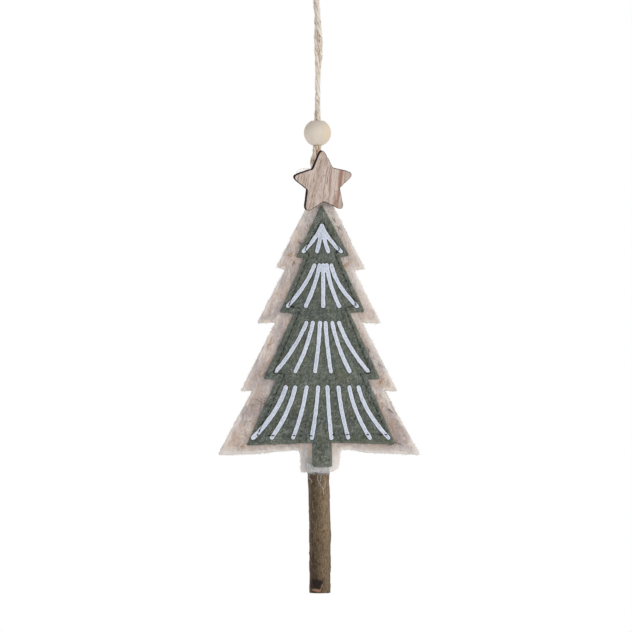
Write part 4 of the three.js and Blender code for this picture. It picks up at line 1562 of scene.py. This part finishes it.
@dataclass(frozen=True)
class Print:
    """The white strokes printed on the green felt, as shares of its half width and height."""

    thickness: float = 0.42
    film: float = 0.05
    """Thickness where the ink's flank has run out on to the wool."""
    ridge: float = 0.05
    ridge_inset: float = 0.26
    ridge_width: float = 0.14
    texture: float = 0.04
    skirt: float = 0.24
    # How far the dark skirt round the ink's foot reaches: ink-soaked wool and painted contact shadow.
    """How far the wool beside the ink is pressed down."""
    ray_width: float = 1.66
    fan_width: float = 1.58
    heavier: tuple[tuple[str, float], ...] = (("base_ray_1", 1.15), ("base_ray_2", 1.08))
    """Strokes with more ink, and their width as a share of the others'."""
    joined_pitch: float = 0.92
    fan_top: float = 0.083
    fan_feet: Shares = (-0.252, -0.065, 0.087, 0.258)
    fan_foot: float = 0.191
    fan_bend: float = 0.43
    rows: tuple[StrokeRow, ...] = (
        StrokeRow("mid", 0.249, 0.42, (-0.103, -0.03, 0.018, 0.066, 0.13),
                  (-0.46, -0.218, 0.018, 0.236, 0.476), (0.43, 0.43, 0.43, 0.56, 0.66), (1, 2, 3)),
        StrokeRow("lower", 0.49, 0.693, (-0.209, -0.121, -0.024, 0.05, 0.14, 0.233),
                  (-0.62, -0.359, -0.091, 0.122, 0.376, 0.626), (0.36, 0.43, 0.43, 0.43, 0.43, 0.43)),
        StrokeRow("base", 0.76, 0.971, (-0.489, -0.362, -0.207, -0.051, 0.075, 0.224, 0.371, 0.496),
                  (-0.93, -0.678, -0.389, -0.136, 0.13, 0.357, 0.65, 0.902),
                  (0.55, 0.53, 0.46, 0.43, 0.43, 0.46, 0.53, 0.56)),
    )

    def across(self, share: float) -> float:
        """X of a share of the green tree's half width."""
        return GREEN_CUT.axis + share * GREEN_CUT.width / 2

    def down(self, share: float) -> float:
        """Z of a share of the green tree's height."""
        return GREEN_CUT.apex - share * GREEN_CUT.height

    def centre_line(self, top: Pair, foot: Pair, bend: float) -> Array:
        """A stroke's middle: even steps down, and across by (1 - bend) t + bend t^2."""
        t = np.linspace(0, 1, 40)[:, None]
        return np.array(top) + np.subtract(foot, top) * np.hstack((t * (1 - bend) + bend * t * t, t))

    def strokes(self) -> dict[str, list[tuple[Array, float]]]:
        """Works out every stroke.

        Returns:
            Centre line and width of each stroke, by the CAD node that holds it.
        """
        fan_start = (self.across(0), self.down(self.fan_top))
        found: dict[str, list[tuple[Array, float]]] = {"top_fan": [
            (self.centre_line(fan_start, (self.across(foot), self.down(self.fan_foot)), self.fan_bend),
             self.fan_width)
            for foot in self.fan_feet
        ]}
        for row in self.rows:
            single = 0
            for i, (top, foot, bend) in enumerate(zip(row.tops, row.feet, row.bends)):
                start = self.across(top)
                if i in row.together:
                    middle = row.together[len(row.together) // 2]
                    start = self.across(row.tops[middle]) + (i - middle) * self.joined_pitch * self.ray_width
                    node = f"{row.name}_ray_trident"
                else:
                    single += 1
                    node = f"{row.name}_ray_{single}"
                line = self.centre_line((start, self.down(row.top_drop)),
                                        (self.across(foot), self.down(row.foot_drop)), bend)
                width = self.ray_width * dict(self.heavier).get(node, 1.0)
                found.setdefault(node, []).append((line, width))
        return found

    def outline(self, line: Array, width: float, seed: int) -> Array:
        """A stroke's outline: both sides of its centre line, half circles round its ends, and an
        uneven edge where the ink has spread into the wool.

        Args:
            line: The centre line.
            width: The stroke's width.
            seed: Picks the edge's unevenness.

        Returns:
            The outline, anticlockwise.
        """
        side = -sideways(unit(np.gradient(line, axis=0))) * (width / 2 + self.skirt)
        turn = np.linspace(0, math.pi, 9)[1:-1, None]

        def cap(centre: Array, arm: Array) -> Array:
            """Half a circle round an end, clockwise from an arm."""
            return centre + arm * np.cos(turn) + sideways(arm) * np.sin(turn)

        loop = np.vstack((line + side, cap(line[-1], side[-1]), (line - side)[::-1],
                          cap(line[0], -side[0])))[::-1]
        loop = even_line(loop, 0.3, closed=True)
        spread = 0.1 * noise(loop, 0.9, seed) + 0.06 * noise(loop, 2.3, seed + 1)
        return loop + loop_normals(loop) * spread[:, None]

    def height(self, points: Array) -> Array:
        """Thickness of the ink over places (n, 2), 0 beside it."""
        near = [distance_to(points, line[:-1], line[1:]) < width / 2
                for line, width in itertools.chain.from_iterable(self.strokes().values())]
        return self.thickness * np.any(near, axis=0)

    def build(self, felt: FeltLayer) -> None:
        """Lays each stroke on the felt: its section is a flat top over steep sides, with a low
        ridge inside the rim, the wool's texture in the middle and a thin skirt round its foot.

        Args:
            felt: The green layer that carries the ink.
        """
        finish = InkFinish(skirt=self.skirt).material()
        rings = (0.11, 0.19, self.skirt + 0.04, self.skirt + 0.2)
        for i, (node, parts) in enumerate(self.strokes().items()):
            loops = [self.outline(line, width, 200 + 7 * i + k) for k, (line, width) in enumerate(parts)]
            patch = Patch.cut(loops, 0.34, rings, 300 + i)
            inside = patch.depth - self.skirt
            top = self.film + (self.thickness - self.film) * smoothstep(inside, -0.07, 0.09)
            top += self.ridge * np.exp(-(((inside - self.ridge_inset) / self.ridge_width) ** 2))
            rough = self.texture * noise(patch.points, 0.5, 400 + i)
            top += rough * smoothstep(inside, 0.1, 0.4)
            level = felt.outer_level(patch.points)
            shape = patch.solid(level - top, level + 0.25, bulge=0.02, steps=2)
            shape.values["seam"] = SEAM.near(shape.points[:, [0, 2]])
            shape.outward().piece(f"{node}_ink", finish, Slot.INK, replaces=[node])


PRINT = Print()


@dataclass
class TwineLoop:
    """The twine: one length from the glue, round its hook and back, of two plies."""

    route: tuple[Triple, ...] = (
        (-0.3, 0, -100.6), (-0.45, 0, -94), (-1.75, 0, -88.9), (-2.3, 0, -85.2), (-1.22, 0, -81.0),
        (-1.0, 0, -76.6), (-1.0, 0.2, -72.6), (-0.55, 0.8, -67.4), (-0.2, 1.0, -62),
        (-0.1, 1.05, -55.6), (0.22, 1.05, -49.6), (0.67, 1, -44.2), (1.14, 0.8, -39),
        (1.22, 0.44, -36.3), (1.22, 0, -33.6), (1.08, -0.5, -30.8), (0.71, -0.88, -28),
        (0.3, -1, -22), (-0.2, -1.32, -15.4), (-0.25, -2.9, -9.4), (-0.05, -4.3, -5.2),
        (0, -3.9, -1.4), (0, 0, 0.9), (0, 3.9, -1.4), (-0.1, 4.3, -5.2), (-0.65, 2.9, -9.4),
        (-0.95, 1.32, -15.4), (-0.4, 1, -22), (-0.4, 0.88, -28), (-0.54, 0.5, -30.8),
        (-0.5, 0, -33.6), (-0.42, -0.44, -36.3), (-0.25, -0.8, -39), (-0.07, -1, -44.2),
        (-0.02, -1.05, -49.6), (0.15, -1.05, -55.6), (0.24, -1.0, -62), (0.55, -0.8, -67.4),
        (1.0, -0.2, -72.6), (1.0, 0, -76.6), (0.45, 0, -82), (0.7, 0, -88.9), (1.8, 0, -94),
        (1.8, 0, -100.6),
    )
    diameter: float = 1.8
    ply_offset: float = 0.28
    ply_radius: float = 0.69
    pitch: float = 13.0
    sides: int = 28
    step: float = 0.3
    stray_fibres: int = 1300
    stray_length: Pair = (1.2, 4.5)
    stray_lift: Pair = (0.1, 0.95)
    stray_radius: Pair = (0.02, 0.045)

    def centre_line(self) -> Array:
        """A centripetal Catmull-Rom curve through the route, at even steps.

        Returns:
            The curve's points, (n, 3).
        """
        points = np.array(self.route, float)
        ends = np.vstack((2 * points[0] - points[1], points, 2 * points[-1] - points[-2]))
        share = np.linspace(0, len(points) - 1, 4000)
        i = np.minimum(share.astype(int), len(points) - 2)
        t = (share - i)[:, None]
        p = [ends[i + k] for k in range(4)]
        d0, d1, d2 = (np.sqrt(np.linalg.norm(p[k + 1] - p[k], axis=1))[:, None] for k in range(3))
        m1 = ((p[1] - p[0]) / d0 - (p[2] - p[0]) / (d0 + d1) + (p[2] - p[1]) / d1) * d1
        m2 = ((p[2] - p[1]) / d1 - (p[3] - p[1]) / (d1 + d2) + (p[3] - p[2]) / d2) * d1
        t2, t3 = t * t, t * t * t
        line = (2 * t3 - 3 * t2 + 1) * p[1] + (t3 - 2 * t2 + t) * m1
        return even_line(line + (3 * t2 - 2 * t3) * p[2] + (t3 - t2) * m2, self.step)

    def section(self, around: Array) -> Array:
        """Reach of the twine's section at some angles: of two circles, whichever is further out."""
        off = around - np.array([[0.0], [math.pi]])
        return np.max(self.ply_offset * np.cos(off) + np.sqrt(
            np.maximum(self.ply_radius**2 - (self.ply_offset * np.sin(off)) ** 2, 0)), axis=0)

    def build(self) -> None:
        """Makes the twine, whose section turns once each pitch, and its stray fibres, neither of them on a
        body."""
        line = self.centre_line()
        run = np.arange(len(line)) * self.step
        turn = -run / self.pitch * TURN + 0.25 * noise(run[:, None], 11.0, 3)
        around = np.arange(self.sides) / self.sides * TURN
        section = self.section(around)
        ply_place = np.stack(np.broadcast_arrays(
            np.cos(around) * section, np.sin(around) * section, run[:, None]), axis=-1)
        grain = noise((ply_place / (0.22, 0.22, 2.4)).reshape(-1, 3), 1.0, 9)
        swell = 1 + 0.09 * noise(run[:, None], 4.0, 8) + 0.05 * noise(run[:, None], 1.7, 12)
        radii = section * swell[:, None] + 0.09 * grain.reshape(len(line), self.sides)
        shape = tubes(line[None], radii[None], self.sides, np.array([1.0, 0, 0]), turn[None])
        shape.values["ply"] = ply_place.reshape(-1, 3) * MM
        lobe = (section - section.min()) / np.ptp(section)
        shape.values["lobe"] = np.broadcast_to(lobe, (len(line), self.sides)).ravel()
        twine = shape.piece("twine", TwineFinish().material(), Slot.JUTE, None,
                            replaces=["hanging_loop", "left_cord_leg", "right_cord_leg"])
        jute = FibreFinish("jute fibres", (240, 230, 214), (208, 186, 158)).material()
        fuzz = self.fuzz(line, turn).piece("twine_fibres", jute, Slot.JUTE, None)
        for made in (twine, fuzz):
            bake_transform(made)

    def fuzz(self, line: Array, turn: Array) -> Shape:
        """Stray fibres: each follows its ply and lifts off by a power of its length.

        Args:
            line: The twine's centre line, at even steps.
            turn: Angle of the section at each of its points.

        Returns:
            The fibres, which stay clear of both glued ends.
        """
        rng = np.random.default_rng(44)
        count = self.stray_fibres
        t = np.linspace(0, 1, 5)
        start = rng.uniform(12, len(line) * self.step - 16, count)[:, None]
        at = (start + rng.uniform(*self.stray_length, (count, 1)) * t) / self.step
        along = unit(np.gradient(line, axis=0))
        first = unit(np.cross(along, (1.0, 0, 0)))
        steps = np.arange(len(line))
        middle, ahead, side = (on_line(rows, steps, at) for rows in (line, first, np.cross(along, first)))
        angle = np.interp(at, steps, turn) + rng.choice((0, math.pi), (count, 1))
        angle = angle + rng.normal(0, 0.7, (count, 1)) + rng.normal(0, 0.5, (count, 1)) * t
        skin = self.ply_offset + self.ply_radius - 0.08
        lift = skin + rng.uniform(*self.stray_lift, (count, 1)) ** 3 * t**1.7
        out = ahead * np.cos(angle)[..., None] + side * np.sin(angle)[..., None]
        taper = np.array([1, 1, 0.9, 0.7, 0.4])[None, :, None]
        lean = unit(rng.normal(0, 1, (count, 1, 3)) * (1, 1, 0.1))
        thick = rng.uniform(*self.stray_radius, (count, 1, 1))
        return tubes(middle + out * lift[..., None], thick * taper, 3, lean)


@dataclass
class Bead:
    """The turned wooden bead and its bore."""

    centre: Triple = (0, 0, -72.5)
    radius: float = 5.87
    bore: float = 2.4
    mouth: float = 0.35
    columns: int = 96
    flats: float = 0.006
    """Depth of the flats that hand sanding leaves, as a share of the radius."""

    def build(self) -> None:
        """Makes the bead: an arc from mouth to mouth, small round lips and a straight bore, turned
        about Z, with slight flats."""
        lip = self.bore + self.mouth
        start = math.asin(lip / self.radius)
        arc = np.linspace(start, math.pi - start, 64)
        top = self.radius * math.cos(start)
        fall = np.linspace(0, math.pi / 2, 7)[1:]
        inward = lip - self.mouth * np.sin(fall)
        down = self.mouth * (1 - np.cos(fall))
        wall = np.linspace(-top + self.mouth, top - self.mouth, 10)[1:-1]
        bore = np.full(len(wall), self.bore)
        radius = np.concatenate((self.radius * np.sin(arc), inward, bore, inward[::-1]))
        height = np.concatenate((self.radius * np.cos(arc), down - top, wall, (top - down)[::-1]))
        angle = np.arange(self.columns) / self.columns * TURN
        points = np.stack(np.broadcast_arrays(
            radius[:, None] * np.cos(angle), radius[:, None] * np.sin(angle), height[:, None]), -1)
        flat = points.reshape(-1, 3)
        flat = flat * (1 + self.flats * noise(flat, 4.0, 61))[:, None]
        index = np.arange(len(flat)).reshape(len(radius), self.columns)
        beside, below = np.roll(index, -1, 1), np.roll(index, -1, 0)
        corner = np.roll(beside, -1, 0)
        triangles = np.vstack([np.stack([i.ravel() for i in f], 1)
                               for f in ((index, below, corner), (index, corner, beside))])
        Shape(flat + self.centre, triangles).outward().piece(
            "turned_bead", BeadFinish(self.centre).material(), Slot.BEAD_WOOD, Body.BEAD, ["bead"])


@dataclass
class Star:
    """The board star, glued aslant over the tree's tip, and the jute fibres that stray by it."""

    width: float = 25.1
    height: float = 25.2
    thickness: float = 3.6
    place: Triple = (1.84, -5.15, -94.07)
    tip_turn: float = math.radians(26)
    """Half the angle of a point."""
    tip_round: float = 4.2
    notch_round: float = 0.3
    arm_droop: float = 1.2
    """How far the two side points lie below a regular star's."""
    spin: float = math.radians(3.5)
    yaw: float = math.radians(12)
    pitch: float = math.radians(7)
    stray: tuple[Triple, Triple, Triple] = ((-9.3, -4.6, -89.9), (-7.4, -5.0, -87.2), (-2.6, -4.4, -88.2))
    """Start, bend and end of the first stray fibre."""
    stray_shift: Triple = (-0.9, 0.2, -0.5)
    stray_radius: float = 0.07

    def turn(self) -> Array:
        """The star's turn: about Y by the spin, then X by the pitch, then Z by the yaw.

        Returns:
            The rotation matrix.
        """
        def about(axis: int, angle: float) -> Array:
            """Rotation matrix about one axis.

            Args:
                axis: 0 for X, 1 for Y or 2 for Z.
                angle: The turn in radians.

            Returns:
                The matrix.
            """
            cos, sin = math.cos(angle), math.sin(angle)
            i, j = [(1, 2), (2, 0), (0, 1)][axis]
            matrix = np.eye(3)
            matrix[i, i] = matrix[j, j] = cos
            matrix[i, j], matrix[j, i] = -sin, sin
            return matrix

        return about(2, self.yaw) @ about(0, self.pitch) @ about(1, -self.spin)

    def outline(self) -> Array:
        """Five blunt points: ten corners at even angles, eased by curves, and worn a little.

        Returns:
            The outline, anticlockwise.
        """
        reach = self.height / (1 + math.cos(math.pi / 5))
        squeeze = self.width / (2 * math.sin(math.pi * 2 / 5)) / reach
        tip = reach + self.tip_round * math.cos(self.tip_turn) / 2
        notch = tip * math.sin(self.tip_turn) / math.sin(self.tip_turn + math.pi / 5)
        number = np.arange(10)
        is_tip = number % 2 == 0
        angle = math.pi / 2 + number * math.pi / 5
        radius = np.where(is_tip, tip, notch)
        droop = np.isin(number, (2, 8)) * self.arm_droop
        corners = np.stack((radius * np.cos(angle) * squeeze, radius * np.sin(angle) - droop), 1)
        loop = eased_loop(corners, np.where(is_tip, self.tip_round, self.notch_round), 0.25)
        chips = 0.16 * smoothstep(noise(loop, 0.7, 84), 0.55, 0.8)
        wear = 0.06 * noise(loop, 1.6, 81) - chips
        return loop + loop_normals(loop) * wear[:, None]

    def build(self) -> None:
        """Makes the star, with its grain and burn laid in the board's own plane."""
        patch = Patch.cut([self.outline()], 0.6, (0.12, 0.3, 0.6, 1.0), 82)
        edge = patch.rounding(0.14, 0.1)
        face = 0.015 * noise(patch.points / (0.35, 6.0), 1.0, 83)
        shape = patch.solid(-self.thickness + edge + face, -edge, bulge=0.05)
        shape.values["board"] = shape.points * MM
        shape.points = shape.points @ self.turn().T + self.place
        shape.outward().piece("laser_cut_star", BoardFinish().material(), Slot.STAR_WOOD,
                              replaces=["star"], sharp=50)
        self.stray_fibres()

    def stray_fibres(self) -> None:
        """Makes two jute fibres over the star's edge, each a quadratic curve."""
        t = np.linspace(0, 1, 24)[:, None]
        start, bend, end = np.array(self.stray)
        path = start * (1 - t) ** 2 + bend * 2 * t * (1 - t) + end * t**2
        paths = np.stack((path, path * (0.8, 1, 1) + self.stray_shift))
        colours = FibreFinish("stray jute fibre", (232, 208, 184), (222, 190, 162)).material()
        made = tubes(paths, np.full((1, 1, 1), self.stray_radius), 5, np.array([0, 1.0, 0]))
        made.piece("star_stray_fibres", colours, Slot.JUTE)


@dataclass(frozen=True)
class Scar:
    """A scar on the bark: its level over the foot, its reach along the twig, how far it stands
    out, and its place and reach round the twig as shares of a turn."""

    level: float
    size: float
    rise: float
    side: float
    spread: float


@dataclass
class Twig:
    """The bark twig that is the trunk, and the white fibres that come out round its top."""

    axis: float = 0.15
    foot: float = -270.5
    length: float = 72.0
    shown: float = 52.2
    radius: float = 4.5
    swell: float = 0.03
    """How much wider than the radius the skin is before its bark."""
    set_off: float = 0.25
    bow: float = 0.68
    rows: int = 230
    columns: int = 84
    furrow: float = 0.05
    bark: tuple[tuple[float, Triple, int], ...] = (
        (0.12, (1.3, 1.3, 8.0), 91), (0.09, (0.7, 0.7, 2.6), 92), (0.07, (0.6, 0.6, 0.6), 93),
    )
    """Height, cell and seed of each noise of the bark."""
    flake: float = 0.13
    scars: tuple[Scar, ...] = (
        Scar(25.0, 3.0, 0.32, 0.99, 0.1), Scar(40.9, 0.8, 0.22, 0.84, 0.04),
        Scar(43.5, 2.2, 0.35, 0.22, 0.09), Scar(17.0, 0.7, 0.25, 0.52, 0.03),
        Scar(23.0, 0.9, 0.2, 0.75, 0.04),
    )
    wisps: int = 1300
    wisp_length: Pair = (0.8, 2.6)
    wisp_radius: Pair = (0.04, 0.075)

    def relief(self, height: Array, turn: Array) -> Array:
        """How far the bark stands out: furrows, noises drawn out along it, flakes and scars.

        Args:
            height: Level of each place over the foot.
            turn: Its share of a turn round the twig.

        Returns:
            One height for each place.
        """
        angle = turn * TURN
        skin = np.stack((np.cos(angle) * self.radius, np.sin(angle) * self.radius, height), 1)
        total = self.furrow * np.sin(angle * 5 + height / self.length * 4)
        for rise, cell, seed in self.bark:
            total += rise * noise(skin / cell, 1, seed)
        total += self.flake * smoothstep(noise(skin / (1.6, 1.6, 3.2), 1, 94), 0.35, 0.5)
        for scar in self.scars:
            apart = np.abs(turn - scar.side)
            off = np.minimum(apart, 1 - apart) / scar.spread
            total += scar.rise * np.exp(-(((height - scar.level) / scar.size) ** 2) - off**2)
        return total

    def build(self) -> None:
        """Makes the twig: rings up a bowed axis, with the bark as heights added to their radius,
        less of it where the felt hides it, and flat sawn ends."""
        up = np.linspace(0, self.length, self.rows)
        inner = np.array([0.02, 0.3, 0.6, 0.85, 0.96])
        level = np.concatenate((np.zeros(len(inner)), up, np.full(len(inner), self.length)))
        share = np.concatenate((inner, np.ones(self.rows), inner[::-1]))
        share[[len(inner), -len(inner) - 1]] = 0.985
        around = np.arange(self.columns) / self.columns
        height, turn = (g.ravel() for g in np.meshgrid(level, around, indexing="ij"))
        share = np.repeat(share, self.columns)
        angle = turn * TURN
        shown = 0.3 + 0.7 * (1 - smoothstep(height, self.shown - 2, self.shown + 6))
        radius = (self.radius + self.swell + self.relief(height, turn) * shown) * share
        bent = smoothstep(self.shown + 2 - height, 0, self.shown) * 2.0
        middle = self.axis + self.set_off + self.bow * np.sin(bent)
        section = np.stack((np.cos(angle) * self.radius / 0.3, np.sin(angle) * self.radius / 4, height), 1)
        saw = np.where(share < 0.99, 0.05 * noise(section, 1, 95), 0)
        flat = np.stack((radius * np.cos(angle), radius * np.sin(angle)), 1)
        points = np.stack((middle + flat[:, 0], flat[:, 1], self.foot + height + saw), 1)
        index = np.arange(len(points)).reshape(1, -1, self.columns)
        values = {
            "sawn": (share < 0.97).astype(float),
            "cut": np.column_stack((flat, np.zeros(len(flat)))) * MM,
        }
        finish = BarkFinish((self.axis, 0, self.foot)).material()
        made = Shape(points, ring_triangles(index), values).outward()
        made.piece("bark_twig", finish, Slot.BARK, replaces=["twig"])
        self.fluff()

    def fluff(self) -> None:
        """White fibres where the twig goes in: wisps that come out from under the felt's foot all
        round and lie down on the bark, each with a wandering heading, and a few long single ones."""
        rng = np.random.default_rng(97)
        count, steps = self.wisps, 12
        t = np.linspace(0, 1, steps)
        angle = rng.uniform(0, TURN, (count, 1))
        heading = np.cumsum(rng.normal(0, 0.32, (count, steps)), axis=1) + rng.normal(0, 0.5, (count, 1))
        length = rng.uniform(*self.wisp_length, (count, 1))
        fall = np.cumsum(np.cos(heading), axis=1) / steps * length
        drift = np.cumsum(np.sin(heading), axis=1) / steps * length
        place = angle + drift / 5
        felt_foot = self.foot + self.shown
        z = felt_foot + rng.uniform(0.2, 4.0, (count, 1)) - fall
        over_felt = smoothstep(z, felt_foot - 1.3, felt_foot + 0.6)
        out = self.radius + 0.1 + rng.uniform(0.0, 0.3, (count, 1)) + np.sin(t * math.pi) * 0.15
        x = self.axis + 0.3 + out * np.cos(place) * 0.98
        sleeve = 2.35 + RELIEF.rise(np.stack((x.ravel(), z.ravel()), 1)).reshape(x.shape)
        y = out * np.sin(place) * (1 - over_felt) + np.sign(np.sin(place)) * (sleeve + 0.1) * over_felt
        lean = unit(rng.normal(0, 1, (count, 1, 3)))
        taper = (0.6 + 0.4 * np.sin(t * math.pi))[None, :, None]
        thick = rng.uniform(*self.wisp_radius, (count, 1, 1)) * taper
        wool = tubes(np.stack((x, y, z), -1), thick, 3, lean)
        finish = FibreFinish("white wadding fibres", (238, 237, 234), (206, 205, 202), 0.8).material()
        Shape.joined([wool, self.long_fibres(rng)]).piece("wadding_fibres", finish, Slot.WADDING)

    def long_fibres(self, rng: np.random.Generator) -> Shape:
        """Single long fibres that lie on the bark, through a few bends each.

        Args:
            rng: Source of random numbers.

        Returns:
            The fibres.
        """
        bends = (
            ((0.4, -218.6), (-0.1, -220.6), (0.2, -222.3), (1.5, -224.0), (2.4, -225.3), (2.6, -228.3)),
            ((-4.1, -220.4), (-3.7, -221.0), (-3.2, -221.4), (-2.8, -221.8), (-2.5, -222.2), (-2.2, -222.8)),
            ((3.2, -220.9), (3.4, -222.3), (3.3, -223.6), (3.0, -224.8), (2.6, -225.6), (2.3, -226.0)),
            ((1.4, -218.6), (1.6, -219.6), (1.3, -220.4), (1.7, -221.2), (1.2, -222.0), (1.0, -222.6)),
        )
        paths = []
        for bend in np.array(bends):
            line = on_line(bend, np.arange(len(bend)), np.linspace(0, len(bend) - 1, 26))
            x, z = blurred(line, np.ones(5)).T
            y = -np.sqrt(np.maximum(4.85**2 - (x - self.axis) ** 2, 0.1))
            paths.append(np.stack((x, y, z), -1))
        thick = rng.uniform(0.05, 0.07, (len(paths), 1, 1))
        return tubes(np.array(paths), thick, 4, np.array([0, 1.0, 0.1]))


@dataclass(frozen=True)
class Studio:
    """Camera, soft lamps, a white surround and a small pale floor under the ornament."""

    pixel: float = 0.43
    """Millimetres that one pixel of the picture spans at the felt's face."""
    picture: int = 632
    axis_pixel: float = 317.5
    top_pixel: float = -36.0
    distance: float = 1.5
    felt_face: float = 0.0025
    sensor: float = 36.0
    floor_reach: float = 300.0
    floor_level: float = -330.0

    def camera(self) -> None:
        """Stands the camera square to the ornament, at the photograph's scale."""
        width = self.pixel * self.picture * MM
        eye = bpy.data.cameras.new("camera")
        eye.sensor_width = self.sensor
        eye.lens = self.sensor * (self.distance - self.felt_face) / width
        eye.clip_start, eye.clip_end = 0.05, 20
        made = bpy.data.objects.new("camera", eye)
        middle = self.picture / 2
        x = (middle - self.axis_pixel) * self.pixel * MM
        z = -(middle - self.top_pixel) * self.pixel * MM
        made.location = (x, -self.distance, z)
        made.rotation_euler = (math.pi / 2, 0, 0)
        bpy.context.scene.collection.objects.link(made)
        bpy.context.scene.camera = made

    def lamp(self, name: str, place: Sequence[float], size: float, watts: float, warmth: Colour) -> None:
        """An area lamp that faces the felt's middle.

        Args:
            name: The lamp's name.
            place: Where it stands, in metres.
            size: Its edge, in metres.
            watts: Its power.
            warmth: Its colour.
        """
        data = bpy.data.lights.new(name, "AREA")
        data.size, data.energy, data.color = size, watts, linear(warmth)[:3]
        made = bpy.data.objects.new(name, data)
        made.location = place
        aim = Vector((0, 0, -0.16)) - made.location
        made.rotation_euler = aim.to_track_quat("-Z", "Y").to_euler()
        bpy.context.scene.collection.objects.link(made)

    def surround(self) -> None:
        """A world that is white to the camera, to gloss and to glass, and dimmer as a lamp."""
        world = bpy.data.worlds.new("studio")
        bpy.context.scene.world = world
        world.use_nodes = True
        paint = Paint(world.node_tree)
        rays = paint.node("LightPath", {}, {}, "Is Camera Ray")
        seen = rays
        for name in ("Is Glossy Ray", "Is Transmission Ray"):
            seen = seen + Value(paint, rays.socket.node.outputs[name])
        seen = seen.above(0.0, 1.0)
        dim = paint.node("Background", {}, {0: linear((250, 251, 255)), 1: 0.76})
        white = paint.node("Background", {}, {0: (1, 1, 1, 1), 1: 1.0})
        both = paint.node("MixShader", {}, {0: seen, 1: dim, 2: white})
        paint.node("OutputWorld", {}, {"Surface": both})

    def floor(self) -> None:
        """A pale round floor, under the picture's frame."""
        count = 64
        angle = np.arange(count) / count * TURN
        reach = self.floor_reach
        rim = np.stack((reach * np.cos(angle), reach * np.sin(angle), np.full(count, self.floor_level)), 1)
        hub = np.arange(1, count - 1)
        faces = np.stack((0 * hub, hub, hub + 1), 1)
        paint = Paint.material("pale floor")
        grain = paint.grain(paint.place(), (30, 30, 30), 2, 0.5)
        paint.colour = paint.mix(grain, (252, 252, 252), (247, 247, 248))
        Shape(rim, faces).piece("floor", paint.surface(Roughness=0.7), None, None)

    def build(self) -> None:
        """Sets the picture's view and lights."""
        bpy.context.scene.view_settings.view_transform = "Standard"
        self.lamp("key", (0.85, -0.8, -0.25), 0.7, 3.5, (255, 252, 247))
        self.lamp("fill", (-0.7, -1.0, 0.3), 0.8, 1.1, (247, 250, 255))
        self.lamp("back", (0.2, 0.9, 0.3), 0.8, 1.6, (255, 255, 255))
        self.surround()
        self.floor()


def dress_glue() -> None:
    """Gives the CAD's glue dabs their finish."""
    glue = GlueFinish().material()
    for node in ("star_glue", "cord_glue", "twig_glue"):
        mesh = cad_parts[node].data
        mesh.materials.clear()
        mesh.materials.append(glue)


def main() -> None:
    logging.basicConfig(level=logging.INFO, format="%(name)s %(message)s")
    studio = Studio()
    studio.camera()
    TwineLoop().build()
    studio.build()
    felt = FeltTree()
    felt.build()
    PRINT.build(felt.cover)
    Bead().build()
    Star().build()
    Twig().build()
    dress_glue()


if __name__ == "__main__":
    main()
